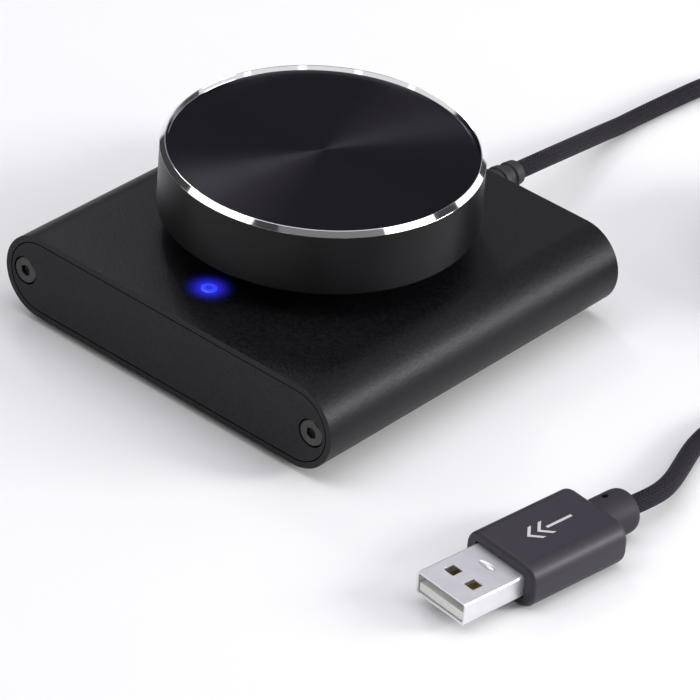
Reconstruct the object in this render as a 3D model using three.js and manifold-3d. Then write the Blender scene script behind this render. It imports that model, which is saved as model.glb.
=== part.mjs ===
// A desktop USB volume control: a flat extruded aluminium case, a large turned knob on a push-button
// rotary encoder, a status light, and a captive USB lead that is wound up beside it.
// Millimetres, +Z up. The origin is on the desk, under the middle of the case.
// The light and the two front screws face -Y. The lead leaves through the rear plate, towards +Y.
import * as THREE from 'three';
import { mergeVertices } from 'three/addons/utils/BufferGeometryUtils.js';
import Module from 'manifold-3d';

const wasm = await Module();
wasm.setup();

// ---------------------------------------------------------------- driving dimensions
const SEAT_GAP = 0.1; // between pieces that seat against or inside each other
const RUNNING_GAP = 0.1; // radial, between a turning or sliding piece and its guide
const TURNED_GAP = 0.3; // between pieces of a group that lies at an angle

const CASE_WIDTH = 80;
const CASE_LENGTH = 80;
const CASE_HEIGHT = 16.8;
const CASE_WALL = 1.2;

const FOOT_HEIGHT = 1.5;
const FOOT_DIAMETER = 8;
const FOOT_INSET = 9; // from the case's ends, and from where its flat underside stops

const PLATE_THICKNESS = 2.5;
const PLATE_GAP = 0.2; // the dark line round an end plate
const SCREW_INSET = 4.8; // from the case's side to the screw's axis
const SCREW_HEAD_DIAMETER = 5.2;
const SCREW_HEAD_HEIGHT = 1.5;
const SCREW_SHANK_DIAMETER = 3;
const SCREW_SHANK_LENGTH = 7;
const SCREW_SOCKET_ACROSS = 2;
const SCREW_SOCKET_DEPTH = 1;
const COUNTERBORE_DIAMETER = 5.6;
const COUNTERBORE_DEPTH = 1.6;
const BOSS_DIAMETER = 6.2;

const BOARD_THICKNESS = 1.6;
const BOARD_SIDE_GAP = 0.2;
const BOARD_FRONT_GAP = 1.5;
const BOARD_REAR_ROOM = 9.5; // behind the board, where the lead bends up to its connector
const RAIL_GRIP = 2.5; // how far a rail reaches over the board's edge
const RAIL_THICKNESS = 1.2;

const ENCODER_WIDTH = 12.4;
const ENCODER_DEPTH = 13.2;
const ENCODER_HEIGHT = 6.5;
const ENCODER_FLANGE = 0.8;
const ENCODER_FLOOR = 0.8;
const ENCODER_CHAMBER_DIAMETER = 10;
const BUSHING_WALL = 0.4; // round the shaft's running hole
const BUSHING_LENGTH = 6;
const NUT_WALL = 1.4; // from the hole to a flat
const NUT_HEIGHT = 2;
const WASHER_MARGIN = 0.75; // beyond the nut's flats
const WASHER_THICKNESS = 0.5;
const SHAFT_DIAMETER = 6;
const SHAFT_FLAT = 1.5; // from the shaft's axis to its flat
const ROTOR_THICKNESS = 2.2;
const PRESS_TRAVEL = 0.5;
const DOME_HEIGHT = 0.4;
const PLUNGER_INSET = 0.2; // radial, inside the shaft
const PLUNGER_HEIGHT = 0.8;
const PIN_WIDTH = 1;
const PIN_THICKNESS = 0.6;
const PIN_LENGTH = 3.2;
const PIN_PITCH = 2.5;
const PIN_ROW = 7.2; // from the shaft's axis to a row of pins

const KNOB_DIAMETER = 59.5;
const KNOB_HEIGHT = 13.1;
const KNOB_GAP = 5; // from the case's top to the knob's underside
const KNOB_WALL = 3;
const KNOB_CEILING = 3.2; // from the hollow underside up to the recessed disc
const KNOB_CHAMFER = 0.92;
const KNOB_CREST = 0.12; // width of the lip's flat top
const KNOB_DISC_RECESS = 0.85;
const KNOB_DISC_STEP = 0.35; // how far the lip's inner wall leans in
const KNOB_FOOT_CHAMFER = 0.4;
const HUB_WALL = 3.95; // round the bore
const HUB_RECESS = 1.2; // from the knob's underside up to the hub's end
const BORE_DEPTH = 8.2; // up from the hub's end
const SET_SCREW_DIAMETER = 3;
const SET_SCREW_SOCKET_ACROSS = 1.5;
const SET_SCREW_RISE = 4.2; // from the knob's underside to the screw's axis
const SET_SCREW_ACCESS_DIAMETER = 3.6;

const LIGHT_FROM_FRONT = 11;
const LIGHT_DIAMETER = 3;
const LIGHT_STAND_PROUD = 0.15;
const LED_DIAMETER = 3;
const LED_HEIGHT = 4.2;

const HEADER_WIDTH = 11;
const HEADER_LENGTH = 8;
const HEADER_HEIGHT = 5.6;
const HEADER_WALL = 0.9;
const LEAD_PLUG_PROUD = 2.6; // how far the lead's connector stands out of the header
const INNER_LEAD_DIAMETER = 2.8;

const CORD_DIAMETER = 3.6;
const CORD_EXIT_X = 3.2;
const GLAND_NECK_DIAMETER = 6.4;
const GLAND_COLLAR_DIAMETER = 8.8;
const GLAND_COLLAR_THICKNESS = 1.4;
const GLAND_TAIL_LENGTH = 12.6;
const GLAND_ROOT_DIAMETER = 7.6;
const GLAND_TIP_DIAMETER = 5;
const GLAND_GROOVES = 3;
const GROOVE_DEPTH = 0.5;

const COIL_CENTRE = new THREE.Vector2(65, 91);
const COIL_RADIUS = 20.5; // at the middle of the turns
const COIL_WIDE = 3; // turns side by side
const COIL_HIGH = 4; // turns on each other
const TURN_PITCH = 3.65;
const TIE_WIDTH = 7;
const TIE_THICKNESS = 0.8;
const TIE_SLACK = 0.8; // beside the coil, for its curve
const TIE_ANGLES = [20, 200]; // degrees round the coil

const PLUG_FRONT = new THREE.Vector2(79.2, -40.2); // where the metal enters the grip
const PLUG_TURN = -6.8; // degrees about +Z; the plug's tip points to -Y when this is 0
const PLUG_METAL_WIDTH = 12;
const PLUG_METAL_HEIGHT = 4.5;
const PLUG_METAL_WALL = 0.4;
const PLUG_METAL_LENGTH = 13.6; // in front of the grip
const PLUG_METAL_BURIED = 4.5; // inside the grip
const PLUG_WINDOW = 2.4; // side of a latch window
const PLUG_WINDOW_SPACING = 5;
const PLUG_WINDOW_FROM_TIP = 5;
const TONGUE_THICKNESS = 1.8;
const TONGUE_ROOT = 4; // length of the full-height block in front of the grip
const CONTACT_WIDTH = 1.1;
const CONTACT_LENGTH = 7.4;
const CONTACT_THICKNESS = 0.25;
const CONTACT_PLACES = [-3.5, -1, 1, 3.5];
const GRIP_WIDTH = 17;
const GRIP_HEIGHT = 8.8;
const GRIP_LENGTH = 22.5;
const GRIP_CORNER = 3.4;
const BOOT_LENGTH = 7.5;
const BOOT_DIAMETER = 8.4;
const BOOT_TIP_DIAMETER = 6.2;
const BOOT_ROUND = 1.6; // length over which the boot's end rounds off

// The lead from the case to the coil, and from the coil to the plug, laid on the desk by hand.
const CORD_FROM_CASE = [
  [3.2, 54.4, 9.9], [3.25, 58.8, 9.6], [3.0, 63.5, 9.0], [2.3, 69, 7.9], [1.3, 75, 6.5],
  [0.2, 81, 5.0], [-0.8, 87, 3.6], [-1.4, 93, 2.5], [-1.7, 99, 1.95], [-1.5, 105, 1.8],
  [-1.1, 111, 1.8], [-0.6, 117, 1.8], [0.4, 123, 1.8], [3.1, 128.7, 1.8], [7.8, 132.7, 1.8],
  [14, 134.6, 1.8], [20.8, 134.2, 1.8], [27.4, 131.7, 1.8], [33.5, 128.7, 1.8], [39.3, 125.5, 1.8],
  [45.2, 122.4, 1.9], [51, 119.9, 2.2], [56.9, 118.1, 2.6],
];
const CORD_TO_PLUG = [
  [89.1, 76.2, 12.6], [88.6, 70, 10.6], [87.6, 64, 8.0], [86.1, 58, 5.4], [84.2, 52, 3.3],
  [82.0, 46, 2.2], [79.6, 40, 1.8], [77.7, 34, 1.8], [76.6, 28, 1.8], [76.5, 22, 1.8],
  [77.6, 16, 1.85], [79.8, 10, 2.3], [82, 4.4, 3.1], [83.3, -0.6, 3.8], [83.4, -5.4, 4.25],
  [82.8, -9.8, 4.4],
];

// ---------------------------------------------------------------- sizes worked out from them
const caseTop = FOOT_HEIGHT + CASE_HEIGHT;
const midHeight = FOOT_HEIGHT + CASE_HEIGHT / 2;
const ceiling = caseTop - CASE_WALL;
const halfLength = CASE_LENGTH / 2;
const insideLength = CASE_LENGTH - 2 * (PLATE_THICKNESS + SEAT_GAP);
const screwX = CASE_WIDTH / 2 - SCREW_INSET;
const boardWidth = 2 * (screwX - BOSS_DIAMETER / 2 - BOARD_SIDE_GAP);
const boardFront = -insideLength / 2 + BOARD_FRONT_GAP;
const boardRear = insideLength / 2 - BOARD_REAR_ROOM;

const flangeTop = ceiling - SEAT_GAP;
const encoderBottom = flangeTop - ENCODER_HEIGHT;
const boardTop = encoderBottom - SEAT_GAP;
const boardBottom = boardTop - BOARD_THICKNESS;
const chamberFloor = encoderBottom + ENCODER_FLOOR;
const chamberTop = flangeTop - ENCODER_FLANGE - SEAT_GAP;
const plungerBottom = chamberFloor + DOME_HEIGHT + PRESS_TRAVEL + SEAT_GAP;
const shaftBottom = plungerBottom + PLUNGER_HEIGHT + SEAT_GAP;

const knobRadius = KNOB_DIAMETER / 2;
const knobBottom = caseTop + KNOB_GAP;
const hubBottom = knobBottom + HUB_RECESS;
const shaftTop = hubBottom + BORE_DEPTH - TURNED_GAP;
const boreRadius = SHAFT_DIAMETER / 2 + RUNNING_GAP / 2;
const hubRadius = boreRadius + HUB_WALL;
const shaftHole = SHAFT_DIAMETER + 2 * RUNNING_GAP;
const bushingDiameter = shaftHole + 2 * BUSHING_WALL;
const bushingHole = bushingDiameter + 2 * SEAT_GAP;
const nutAcross = bushingHole + 2 * NUT_WALL;

const lightY = -halfLength + LIGHT_FROM_FRONT;
const headerMouth = boardRear - 4;
const gripMiddle = GRIP_HEIGHT / 2;

// ---------------------------------------------------------------- finishes
function finish(color, roughness, metalness) {
  return new THREE.MeshStandardMaterial({ color, roughness, metalness });
}
const blackAnodised = finish(0x17181a, 0.5, 0.7);
const turnedKnob = finish(0x202124, 0.3, 0.9);
const darkSteel = finish(0x1c1c1e, 0.4, 0.9);
const nickel = finish(0xc8c9cb, 0.25, 1);
const blackRubber = finish(0x141414, 0.9, 0);
const blackPlastic = finish(0x18181a, 0.6, 0);
const circuitBoard = finish(0x0f3d24, 0.5, 0.1);
const brassPlate = finish(0xc9a24a, 0.3, 1);
const whitePlastic = finish(0xe6e4de, 0.6, 0);
const blueLight = finish(0x3f8cff, 0.3, 0);
const copperFoil = finish(0xb5b6b8, 0.35, 1);
const cordBraid = finish(0x1d1d1f, 0.85, 0);

// ---------------------------------------------------------------- shapes
// Turns a geometry's faces outwards, with one vertex at each corner and no flattened triangles.
function outward(geometry) {
  const bare = geometry.clone();
  bare.deleteAttribute('normal');
  bare.deleteAttribute('uv');
  const merged = mergeVertices(bare, 1e-4);
  const corner = [new THREE.Vector3(), new THREE.Vector3(), new THREE.Vector3()];
  const kept = [];
  let volume = 0;
  for (let i = 0; i < merged.index.count; i += 3) {
    const triangle = [0, 1, 2].map((k) => merged.index.getX(i + k));
    if (new Set(triangle).size < 3) continue;
    triangle.forEach((vertex, k) => corner[k].fromBufferAttribute(merged.attributes.position, vertex));
    volume += corner[0].dot(corner[1].clone().cross(corner[2]));
    kept.push(triangle);
  }
  merged.setIndex(kept.flatMap(([a, b, c]) => (volume < 0 ? [a, c, b] : [a, b, c])));
  return merged;
}

function solid(geometry) {
  const closed = outward(geometry);
  const vertProperties = new Float32Array(closed.attributes.position.array);
  const triVerts = new Uint32Array(closed.index.array);
  return new wasm.Manifold(new wasm.Mesh({ numProp: 3, vertProperties, triVerts }));
}

function geometryOf(manifold) {
  const { vertProperties, triVerts } = manifold.getMesh();
  const geometry = new THREE.BufferGeometry();
  geometry.setAttribute('position', new THREE.BufferAttribute(new Float32Array(vertProperties), 3));
  geometry.setIndex(Array.from(triVerts));
  return geometry;
}

// Joins the first list of geometries and cuts the second list out of them.
function joinAndCut(joined, cut = []) {
  let body = solid(joined[0]);
  for (const geometry of joined.slice(1)) body = body.add(solid(geometry));
  for (const geometry of cut) body = body.subtract(solid(geometry));
  return geometryOf(body);
}

function block([x0, x1], [y0, y1], [z0, z1]) {
  const box = new THREE.BoxGeometry(x1 - x0, y1 - y0, z1 - z0);
  return box.translate((x0 + x1) / 2, (y0 + y1) / 2, (z0 + z1) / 2);
}

// A round or many-sided bar along an axis, from one coordinate to another, through the point given.
function bar(axis, diameter, [from, to], [x, y, z], sides = 24) {
  const rod = new THREE.CylinderGeometry(diameter / 2, diameter / 2, to - from, sides);
  const middle = (from + to) / 2;
  if (axis === 'x') return rod.rotateZ(Math.PI / 2).translate(middle, y, z);
  if (axis === 'y') return rod.translate(x, middle, z);
  return rod.rotateX(Math.PI / 2).translate(x, y, middle);
}

function hexBar(axis, across, span, point) {
  return bar(axis, across / Math.cos(Math.PI / 6), span, point, 6);
}

// Profiles are lists of [radius, height]; turnedUp stands on +Z and turnedAlongY lies on +Y.
function turnedAlongY(profile, sides = 32) {
  return outward(new THREE.LatheGeometry(profile.map(([r, y]) => new THREE.Vector2(r, y)), sides));
}

function turnedUp(profile, sides = 32) {
  return turnedAlongY(profile, sides).rotateX(Math.PI / 2);
}

function ring(outerDiameter, innerDiameter, [z0, z1], sides = 32) {
  const [outer, inner] = [outerDiameter / 2, innerDiameter / 2];
  return turnedUp([[inner, z0], [outer, z0], [outer, z1], [inner, z1], [inner, z0]], sides);
}

// The case's outline: a flat top and bottom joined by half rounds.
function stadium(width, height) {
  const r = height / 2;
  const x = width / 2 - r;
  const outline = new THREE.Shape();
  outline.moveTo(-x, -r);
  outline.lineTo(x, -r);
  outline.absarc(x, 0, r, -Math.PI / 2, Math.PI / 2, false);
  outline.lineTo(-x, r);
  outline.absarc(-x, 0, r, Math.PI / 2, 1.5 * Math.PI, false);
  return outline;
}

function roundedRectangle(width, height, radius) {
  const [x, y] = [width / 2 - radius, height / 2 - radius];
  const outline = new THREE.Shape();
  outline.absarc(x, -y, radius, -Math.PI / 2, 0, false);
  outline.absarc(x, y, radius, 0, Math.PI / 2, false);
  outline.absarc(-x, y, radius, Math.PI / 2, Math.PI, false);
  outline.absarc(-x, -y, radius, Math.PI, 1.5 * Math.PI, false);
  outline.closePath();
  return outline;
}

// An outline in X and Z, centred on the height given and pushed along Y.
function alongY(outline, [from, to], height, curveSegments = 16) {
  const options = { depth: to - from, bevelEnabled: false, curveSegments };
  return new THREE.ExtrudeGeometry(outline, options).rotateX(Math.PI / 2).translate(0, to, height);
}

function tube(points, diameter, stepLength) {
  const path = new THREE.CatmullRomCurve3(points.map((point) => new THREE.Vector3(...point)));
  const corners = [];
  for (let i = 0; i < 8; i += 1) {
    const angle = (i / 8) * 2 * Math.PI;
    corners.push(new THREE.Vector2(Math.cos(angle), Math.sin(angle)).multiplyScalar(diameter / 2));
  }
  const steps = Math.round(path.getLength() / stepLength);
  return outward(new THREE.ExtrudeGeometry(new THREE.Shape(corners), { steps, extrudePath: path }));
}

const model = new THREE.Group();

function add(name, geometry, material, group = model) {
  const mesh = new THREE.Mesh(geometry, material);
  mesh.name = name;
  group.add(mesh);
  return mesh;
}

// ---------------------------------------------------------------- case
const sides = [-1, 1];

function caseExtrusion() {
  const hollowHeight = CASE_HEIGHT - 2 * CASE_WALL;
  const outer = solid(alongY(stadium(CASE_WIDTH, CASE_HEIGHT), [-halfLength, halfLength], midHeight));
  const hollow = stadium(CASE_WIDTH - 2 * CASE_WALL, hollowHeight);
  let body = outer.subtract(solid(alongY(hollow, [-halfLength - 1, halfLength + 1], midHeight)));
  const depth = [-insideLength / 2, insideLength / 2];
  for (const side of sides) {
    const outwards = (x) => [side * x, side * CASE_WIDTH / 2].sort((a, b) => a - b);
    const bossMiddle = [side * screwX, 0, midHeight];
    const web = [midHeight - RAIL_THICKNESS, midHeight + RAIL_THICKNESS];
    const lowerRail = [boardBottom - SEAT_GAP - RAIL_THICKNESS, boardBottom - SEAT_GAP];
    const upperRail = [boardTop + SEAT_GAP, boardTop + SEAT_GAP + RAIL_THICKNESS];
    const railStart = boardWidth / 2 - RAIL_GRIP;
    body = body.add(solid(bar('y', BOSS_DIAMETER, depth, bossMiddle)));
    body = body.add(solid(block(outwards(screwX), depth, web)));
    body = body.add(solid(block(outwards(railStart), depth, lowerRail)));
    body = body.add(solid(block(outwards(railStart), depth, upperRail)));
    const pilot = SCREW_SHANK_DIAMETER + 2 * SEAT_GAP;
    body = body.subtract(solid(bar('y', pilot, [-halfLength, halfLength], bossMiddle, 20)));
  }
  body = body.intersect(outer);
  const above = [ceiling - 1, caseTop + 1];
  body = body.subtract(solid(bar('z', bushingHole, above, [0, 0, 0], 32)));
  body = body.subtract(solid(bar('z', LIGHT_DIAMETER + 2 * SEAT_GAP, above, [0, lightY, 0])));
  return geometryOf(body);
}

function endPlate(span, extraCuts = []) {
  const height = CASE_HEIGHT - 2 * (CASE_WALL + PLATE_GAP);
  const outline = stadium(CASE_WIDTH - 2 * (CASE_WALL + PLATE_GAP), height);
  const outerFace = span[0] < 0 ? span[0] : span[1];
  const inwards = -Math.sign(outerFace);
  const counterbore = [outerFace - inwards, outerFace + inwards * COUNTERBORE_DEPTH];
  const shankHole = SCREW_SHANK_DIAMETER + 2 * SEAT_GAP;
  const cuts = sides.flatMap((side) => [
    bar('y', shankHole, [span[0] - 1, span[1] + 1], [side * screwX, 0, midHeight], 20),
    bar('y', COUNTERBORE_DIAMETER, counterbore.sort((a, b) => a - b), [side * screwX, 0, midHeight]),
  ]);
  return joinAndCut([alongY(outline, span, midHeight)], [...cuts, ...extraCuts]);
}

// A low-head socket screw along +Y, with its head's face at y = 0.
function plateScrew() {
  const [head, shank] = [SCREW_HEAD_DIAMETER / 2, SCREW_SHANK_DIAMETER / 2];
  const end = SCREW_HEAD_HEIGHT + SCREW_SHANK_LENGTH;
  const body = turnedAlongY([
    [0, 0], [head - 0.2, 0], [head, 0.2], [head, SCREW_HEAD_HEIGHT],
    [shank, SCREW_HEAD_HEIGHT], [shank, end - 0.4], [shank - 0.4, end], [0, end],
  ], 20);
  return joinAndCut([body], [hexBar('y', SCREW_SOCKET_ACROSS, [-1, SCREW_SOCKET_DEPTH], [0, 0, 0])]);
}

function addCase() {
  add('case_extrusion', caseExtrusion(), blackAnodised);
  add('front_plate', endPlate([-halfLength, -halfLength + PLATE_THICKNESS]), blackAnodised);
  const neck = GLAND_NECK_DIAMETER + 2 * SEAT_GAP;
  const throughPlate = [halfLength - PLATE_THICKNESS - 1, halfLength + 1];
  const glandHole = bar('y', neck, throughPlate, [CORD_EXIT_X, 0, midHeight]);
  add('rear_plate', endPlate([halfLength - PLATE_THICKNESS, halfLength], [glandHole]), blackAnodised);
  const headFace = halfLength - (COUNTERBORE_DEPTH - SCREW_HEAD_HEIGHT) + SEAT_GAP / 2;
  for (const [end, turn] of [['front', 0], ['rear', Math.PI]]) {
    for (const side of sides) {
      const screw = add(`${end}_screw_${side < 0 ? 'left' : 'right'}`, plateScrew(), darkSteel);
      screw.position.set(side * screwX, end === 'front' ? -headFace : headFace, midHeight);
      screw.rotation.z = turn;
    }
  }
  const footX = CASE_WIDTH / 2 - CASE_HEIGHT / 2 - FOOT_INSET + FOOT_DIAMETER / 2;
  const footY = halfLength - FOOT_INSET;
  const corners = [[-1, -1], [1, -1], [-1, 1], [1, 1]];
  corners.forEach(([x, y], i) => {
    const foot = turnedUp([[0, 0], [FOOT_DIAMETER / 2 - 0.3, 0], [FOOT_DIAMETER / 2, 0.3],
      [FOOT_DIAMETER / 2, FOOT_HEIGHT], [0, FOOT_HEIGHT]], 24);
    add(`foot_${i + 1}`, foot, blackRubber).position.set(x * footX, y * footY, 0);
  });
}

// ---------------------------------------------------------------- encoder and knob
const pinPlaces = [
  [-PIN_PITCH, -PIN_ROW], [0, -PIN_ROW], [PIN_PITCH, -PIN_ROW], [-PIN_PITCH, PIN_ROW], [PIN_PITCH, PIN_ROW],
];

function addEncoder() {
  const [halfWidth, halfDepth] = [ENCODER_WIDTH / 2, ENCODER_DEPTH / 2];
  const cup = block([-halfWidth, halfWidth], [-halfDepth, halfDepth], [encoderBottom, chamberTop]);
  const chamber = bar('z', ENCODER_CHAMBER_DIAMETER, [chamberFloor, chamberTop + 1], [0, 0, 0], 32);
  add('encoder_body', joinAndCut([cup], [chamber]), blackPlastic);

  const flangeSpan = [flangeTop - ENCODER_FLANGE, flangeTop];
  const flange = block([-halfWidth, halfWidth], [-halfDepth, halfDepth], flangeSpan);
  const barrelSpan = [flangeTop - ENCODER_FLANGE / 2, flangeTop + BUSHING_LENGTH];
  const barrel = bar('z', bushingDiameter, barrelSpan, [0, 0, 0], 32);
  const through = [flangeTop - ENCODER_FLANGE - 1, flangeTop + BUSHING_LENGTH + 1];
  const guide = bar('z', shaftHole, through, [0, 0, 0], 32);
  add('encoder_bushing', joinAndCut([flange, barrel], [guide]), nickel);

  const washerDiameter = nutAcross + 2 * WASHER_MARGIN;
  const washer = ring(washerDiameter, bushingHole, [caseTop, caseTop + WASHER_THICKNESS]);
  add('encoder_washer', washer, nickel);
  const nutSpan = [caseTop + WASHER_THICKNESS, caseTop + WASHER_THICKNESS + NUT_HEIGHT];
  const nutHole = bar('z', bushingHole, [nutSpan[0] - 1, nutSpan[1] + 1], [0, 0, 0], 32);
  add('encoder_nut', joinAndCut([hexBar('z', nutAcross, nutSpan, [0, 0, 0])], [nutHole]), nickel);

  const rotorTop = chamberTop - 2 * SEAT_GAP - WASHER_THICKNESS;
  const rotorDiameter = ENCODER_CHAMBER_DIAMETER - 6 * RUNNING_GAP;
  const rotor = ring(rotorDiameter, shaftHole, [rotorTop - ROTOR_THICKNESS, rotorTop]);
  add('encoder_rotor', rotor, whitePlastic);
  const springSpan = [rotorTop + SEAT_GAP, rotorTop + SEAT_GAP + WASHER_THICKNESS];
  add('detent_spring', ring(rotorDiameter, shaftHole + 4 * RUNNING_GAP, springSpan), brassPlate);

  const domeFoot = chamberFloor + 0.05;
  const domeTop = chamberFloor + DOME_HEIGHT;
  const dome = turnedUp([
    [0, domeFoot], [2.6, domeFoot], [2.4, domeFoot + 0.15], [1.2, domeTop], [0, domeTop],
  ], 24);
  add('switch_dome', dome, nickel);
  const plungerDiameter = SHAFT_DIAMETER - 2 * PLUNGER_INSET;
  const plunger = bar('z', plungerDiameter, [plungerBottom, plungerBottom + PLUNGER_HEIGHT], [0, 0, 0]);
  add('encoder_plunger', outward(plunger), whitePlastic);

  const shaft = bar('z', SHAFT_DIAMETER, [shaftBottom, shaftTop], [0, 0, 0], 32);
  const flatSpan = [hubBottom - 0.5, shaftTop + 1];
  const flat = block([-SHAFT_DIAMETER, SHAFT_DIAMETER], [SHAFT_FLAT, SHAFT_DIAMETER], flatSpan);
  add('encoder_shaft', joinAndCut([shaft], [flat]), nickel);

  pinPlaces.forEach(([x, y], i) => {
    const foot = encoderBottom - SEAT_GAP / 2;
    const pin = block([-PIN_WIDTH / 2, PIN_WIDTH / 2], [-PIN_THICKNESS / 2, PIN_THICKNESS / 2],
      [foot - PIN_LENGTH, foot]);
    const inset = Math.sign(y) * (PIN_ROW - halfDepth + PIN_THICKNESS);
    add(`encoder_pin_${i + 1}`, outward(pin), copperFoil).position.set(x, y - inset, 0);
  });
}

function knobShell() {
  const top = knobBottom + KNOB_HEIGHT;
  const disc = top - KNOB_DISC_RECESS;
  const hollowTop = disc - KNOB_CEILING;
  const crest = knobRadius - KNOB_CHAMFER;
  const body = turnedUp([
    [0, hubBottom + BORE_DEPTH], [boreRadius, hubBottom + BORE_DEPTH], [boreRadius, hubBottom],
    [hubRadius, hubBottom], [hubRadius, hollowTop], [knobRadius - KNOB_WALL, hollowTop],
    [knobRadius - KNOB_WALL, knobBottom], [knobRadius - KNOB_FOOT_CHAMFER, knobBottom],
    [knobRadius, knobBottom + KNOB_FOOT_CHAMFER], [knobRadius, top - KNOB_CHAMFER], [crest, top],
    [crest - KNOB_CREST, top], [crest - KNOB_CREST - KNOB_DISC_STEP, disc], [0, disc],
  ], 72);
  const screwHeight = knobBottom + SET_SCREW_RISE;
  const threadSpan = [boreRadius / 2, hubRadius + 1];
  const thread = bar('y', SET_SCREW_DIAMETER + 2 * SEAT_GAP, threadSpan, [0, 0, screwHeight], 20);
  const accessSpan = [knobRadius - KNOB_WALL - 1, knobRadius + 1];
  const access = bar('y', SET_SCREW_ACCESS_DIAMETER, accessSpan, [0, 0, screwHeight], 20);
  return joinAndCut([body], [thread, access]);
}

function addKnob() {
  add('knob_shell', knobShell(), turnedKnob);
  const [tip, end] = [SHAFT_FLAT + SEAT_GAP, hubRadius - SEAT_GAP];
  const height = knobBottom + SET_SCREW_RISE;
  const screw = bar('y', SET_SCREW_DIAMETER, [tip, end], [0, 0, height], 20);
  const socket = hexBar('y', SET_SCREW_SOCKET_ACROSS, [end - SCREW_SOCKET_DEPTH, end + 1], [0, 0, height]);
  add('knob_set_screw', joinAndCut([screw], [socket]), darkSteel);
}

// ---------------------------------------------------------------- circuit board
function addBoard() {
  const halfWidth = boardWidth / 2;
  const outline = block([-halfWidth, halfWidth], [boardFront, boardRear], [boardBottom, boardTop]);
  const holes = pinPlaces.map(([x, y]) => {
    const inset = Math.sign(y) * (PIN_ROW - ENCODER_DEPTH / 2 + PIN_THICKNESS);
    const [halfX, halfY] = [PIN_WIDTH / 2 + SEAT_GAP, PIN_THICKNESS / 2 + SEAT_GAP];
    const middle = y - inset;
    return block([x - halfX, x + halfX], [middle - halfY, middle + halfY], [boardBottom - 1, boardTop + 1]);
  });
  add('main_board', joinAndCut([outline], holes), circuitBoard);

  const seat = boardTop + SEAT_GAP / 2;
  const onBoard = (name, [x, y], [width, length, height], material) => {
    const piece = block([-width / 2, width / 2], [-length / 2, length / 2], [seat, seat + height]);
    add(name, outward(piece), material).position.set(x, y, 0);
  };
  onBoard('controller_chip', [-18, -4], [7, 7, 1.2], blackPlastic);
  onBoard('crystal', [-18, 8], [5, 3.2, 1.1], nickel);
  onBoard('voltage_regulator', [18, 10], [6.5, 3.5, 1.6], blackPlastic);
  onBoard('light_resistor', [5, lightY + 1], [2, 1.25, 0.6], blackPlastic);
  [[16, -8], [22, -8]].forEach(([x, y], i) => {
    const can = outward(bar('z', 4, [seat, seat + 5.4], [x, y, 0]));
    add(`capacitor_${i + 1}`, can, nickel);
  });
}

function addLight() {
  const seat = boardTop + SEAT_GAP / 2;
  const pipeBottom = seat + LED_HEIGHT + SEAT_GAP;
  const led = turnedUp([[0, seat], [LED_DIAMETER / 2 + 0.25, seat], [LED_DIAMETER / 2 + 0.25, seat + 0.8],
    [LED_DIAMETER / 2, seat + 0.8], [LED_DIAMETER / 2, seat + LED_HEIGHT - 0.8],
    [LED_DIAMETER / 2 - 0.8, seat + LED_HEIGHT], [0, seat + LED_HEIGHT]], 20);
  add('status_led', led, whitePlastic).position.y = lightY;
  const crown = caseTop + LIGHT_STAND_PROUD;
  const collar = LIGHT_DIAMETER / 2 + 0.7;
  const pipe = turnedUp([[0, pipeBottom], [collar, pipeBottom], [collar, ceiling - SEAT_GAP],
    [LIGHT_DIAMETER / 2, ceiling - SEAT_GAP], [LIGHT_DIAMETER / 2, caseTop],
    [LIGHT_DIAMETER / 2 - 0.3, crown], [0, crown]], 24);
  add('light_pipe', pipe, blueLight).position.y = lightY;
}

// ---------------------------------------------------------------- lead inside the case
function addLeadInside() {
  const seat = boardTop + SEAT_GAP / 2;
  const [halfWidth, mouth] = [HEADER_WIDTH / 2, headerMouth];
  const socketFrom = mouth - HEADER_LENGTH + HEADER_WALL;
  const [low, high] = [seat + HEADER_WALL, seat + HEADER_HEIGHT - HEADER_WALL];
  const x = [CORD_EXIT_X - halfWidth, CORD_EXIT_X + halfWidth];
  const pocketX = [x[0] + HEADER_WALL, x[1] - HEADER_WALL];
  const box = block(x, [mouth - HEADER_LENGTH, mouth], [seat, seat + HEADER_HEIGHT]);
  const pocket = block(pocketX, [socketFrom, mouth + 1], [low, high]);
  add('board_header', joinAndCut([box], [pocket]), whitePlastic);
  const plugX = [pocketX[0] + SEAT_GAP, pocketX[1] - SEAT_GAP];
  const plugEnd = mouth + LEAD_PLUG_PROUD;
  const leadPlug = block(plugX, [socketFrom + TURNED_GAP, plugEnd], [low + SEAT_GAP, high - SEAT_GAP]);
  add('lead_connector', outward(leadPlug), whitePlastic);

  const glandInside = halfLength - PLATE_THICKNESS - SEAT_GAP - GLAND_COLLAR_THICKNESS;
  const [start, finishY] = [glandInside - TURNED_GAP, plugEnd + TURNED_GAP];
  const leadHeight = (low + high) / 2;
  const span = start - finishY;
  const points = [
    [CORD_EXIT_X, start, midHeight], [CORD_EXIT_X, start - 0.2 * span, midHeight + 0.3],
    [CORD_EXIT_X, start - 0.5 * span, (midHeight + leadHeight) / 2 + 0.3],
    [CORD_EXIT_X, finishY + 0.2 * span, leadHeight - 0.1], [CORD_EXIT_X, finishY, leadHeight],
  ];
  add('inner_lead', tube(points, INNER_LEAD_DIAMETER, INNER_LEAD_DIAMETER), cordBraid);
}

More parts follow.
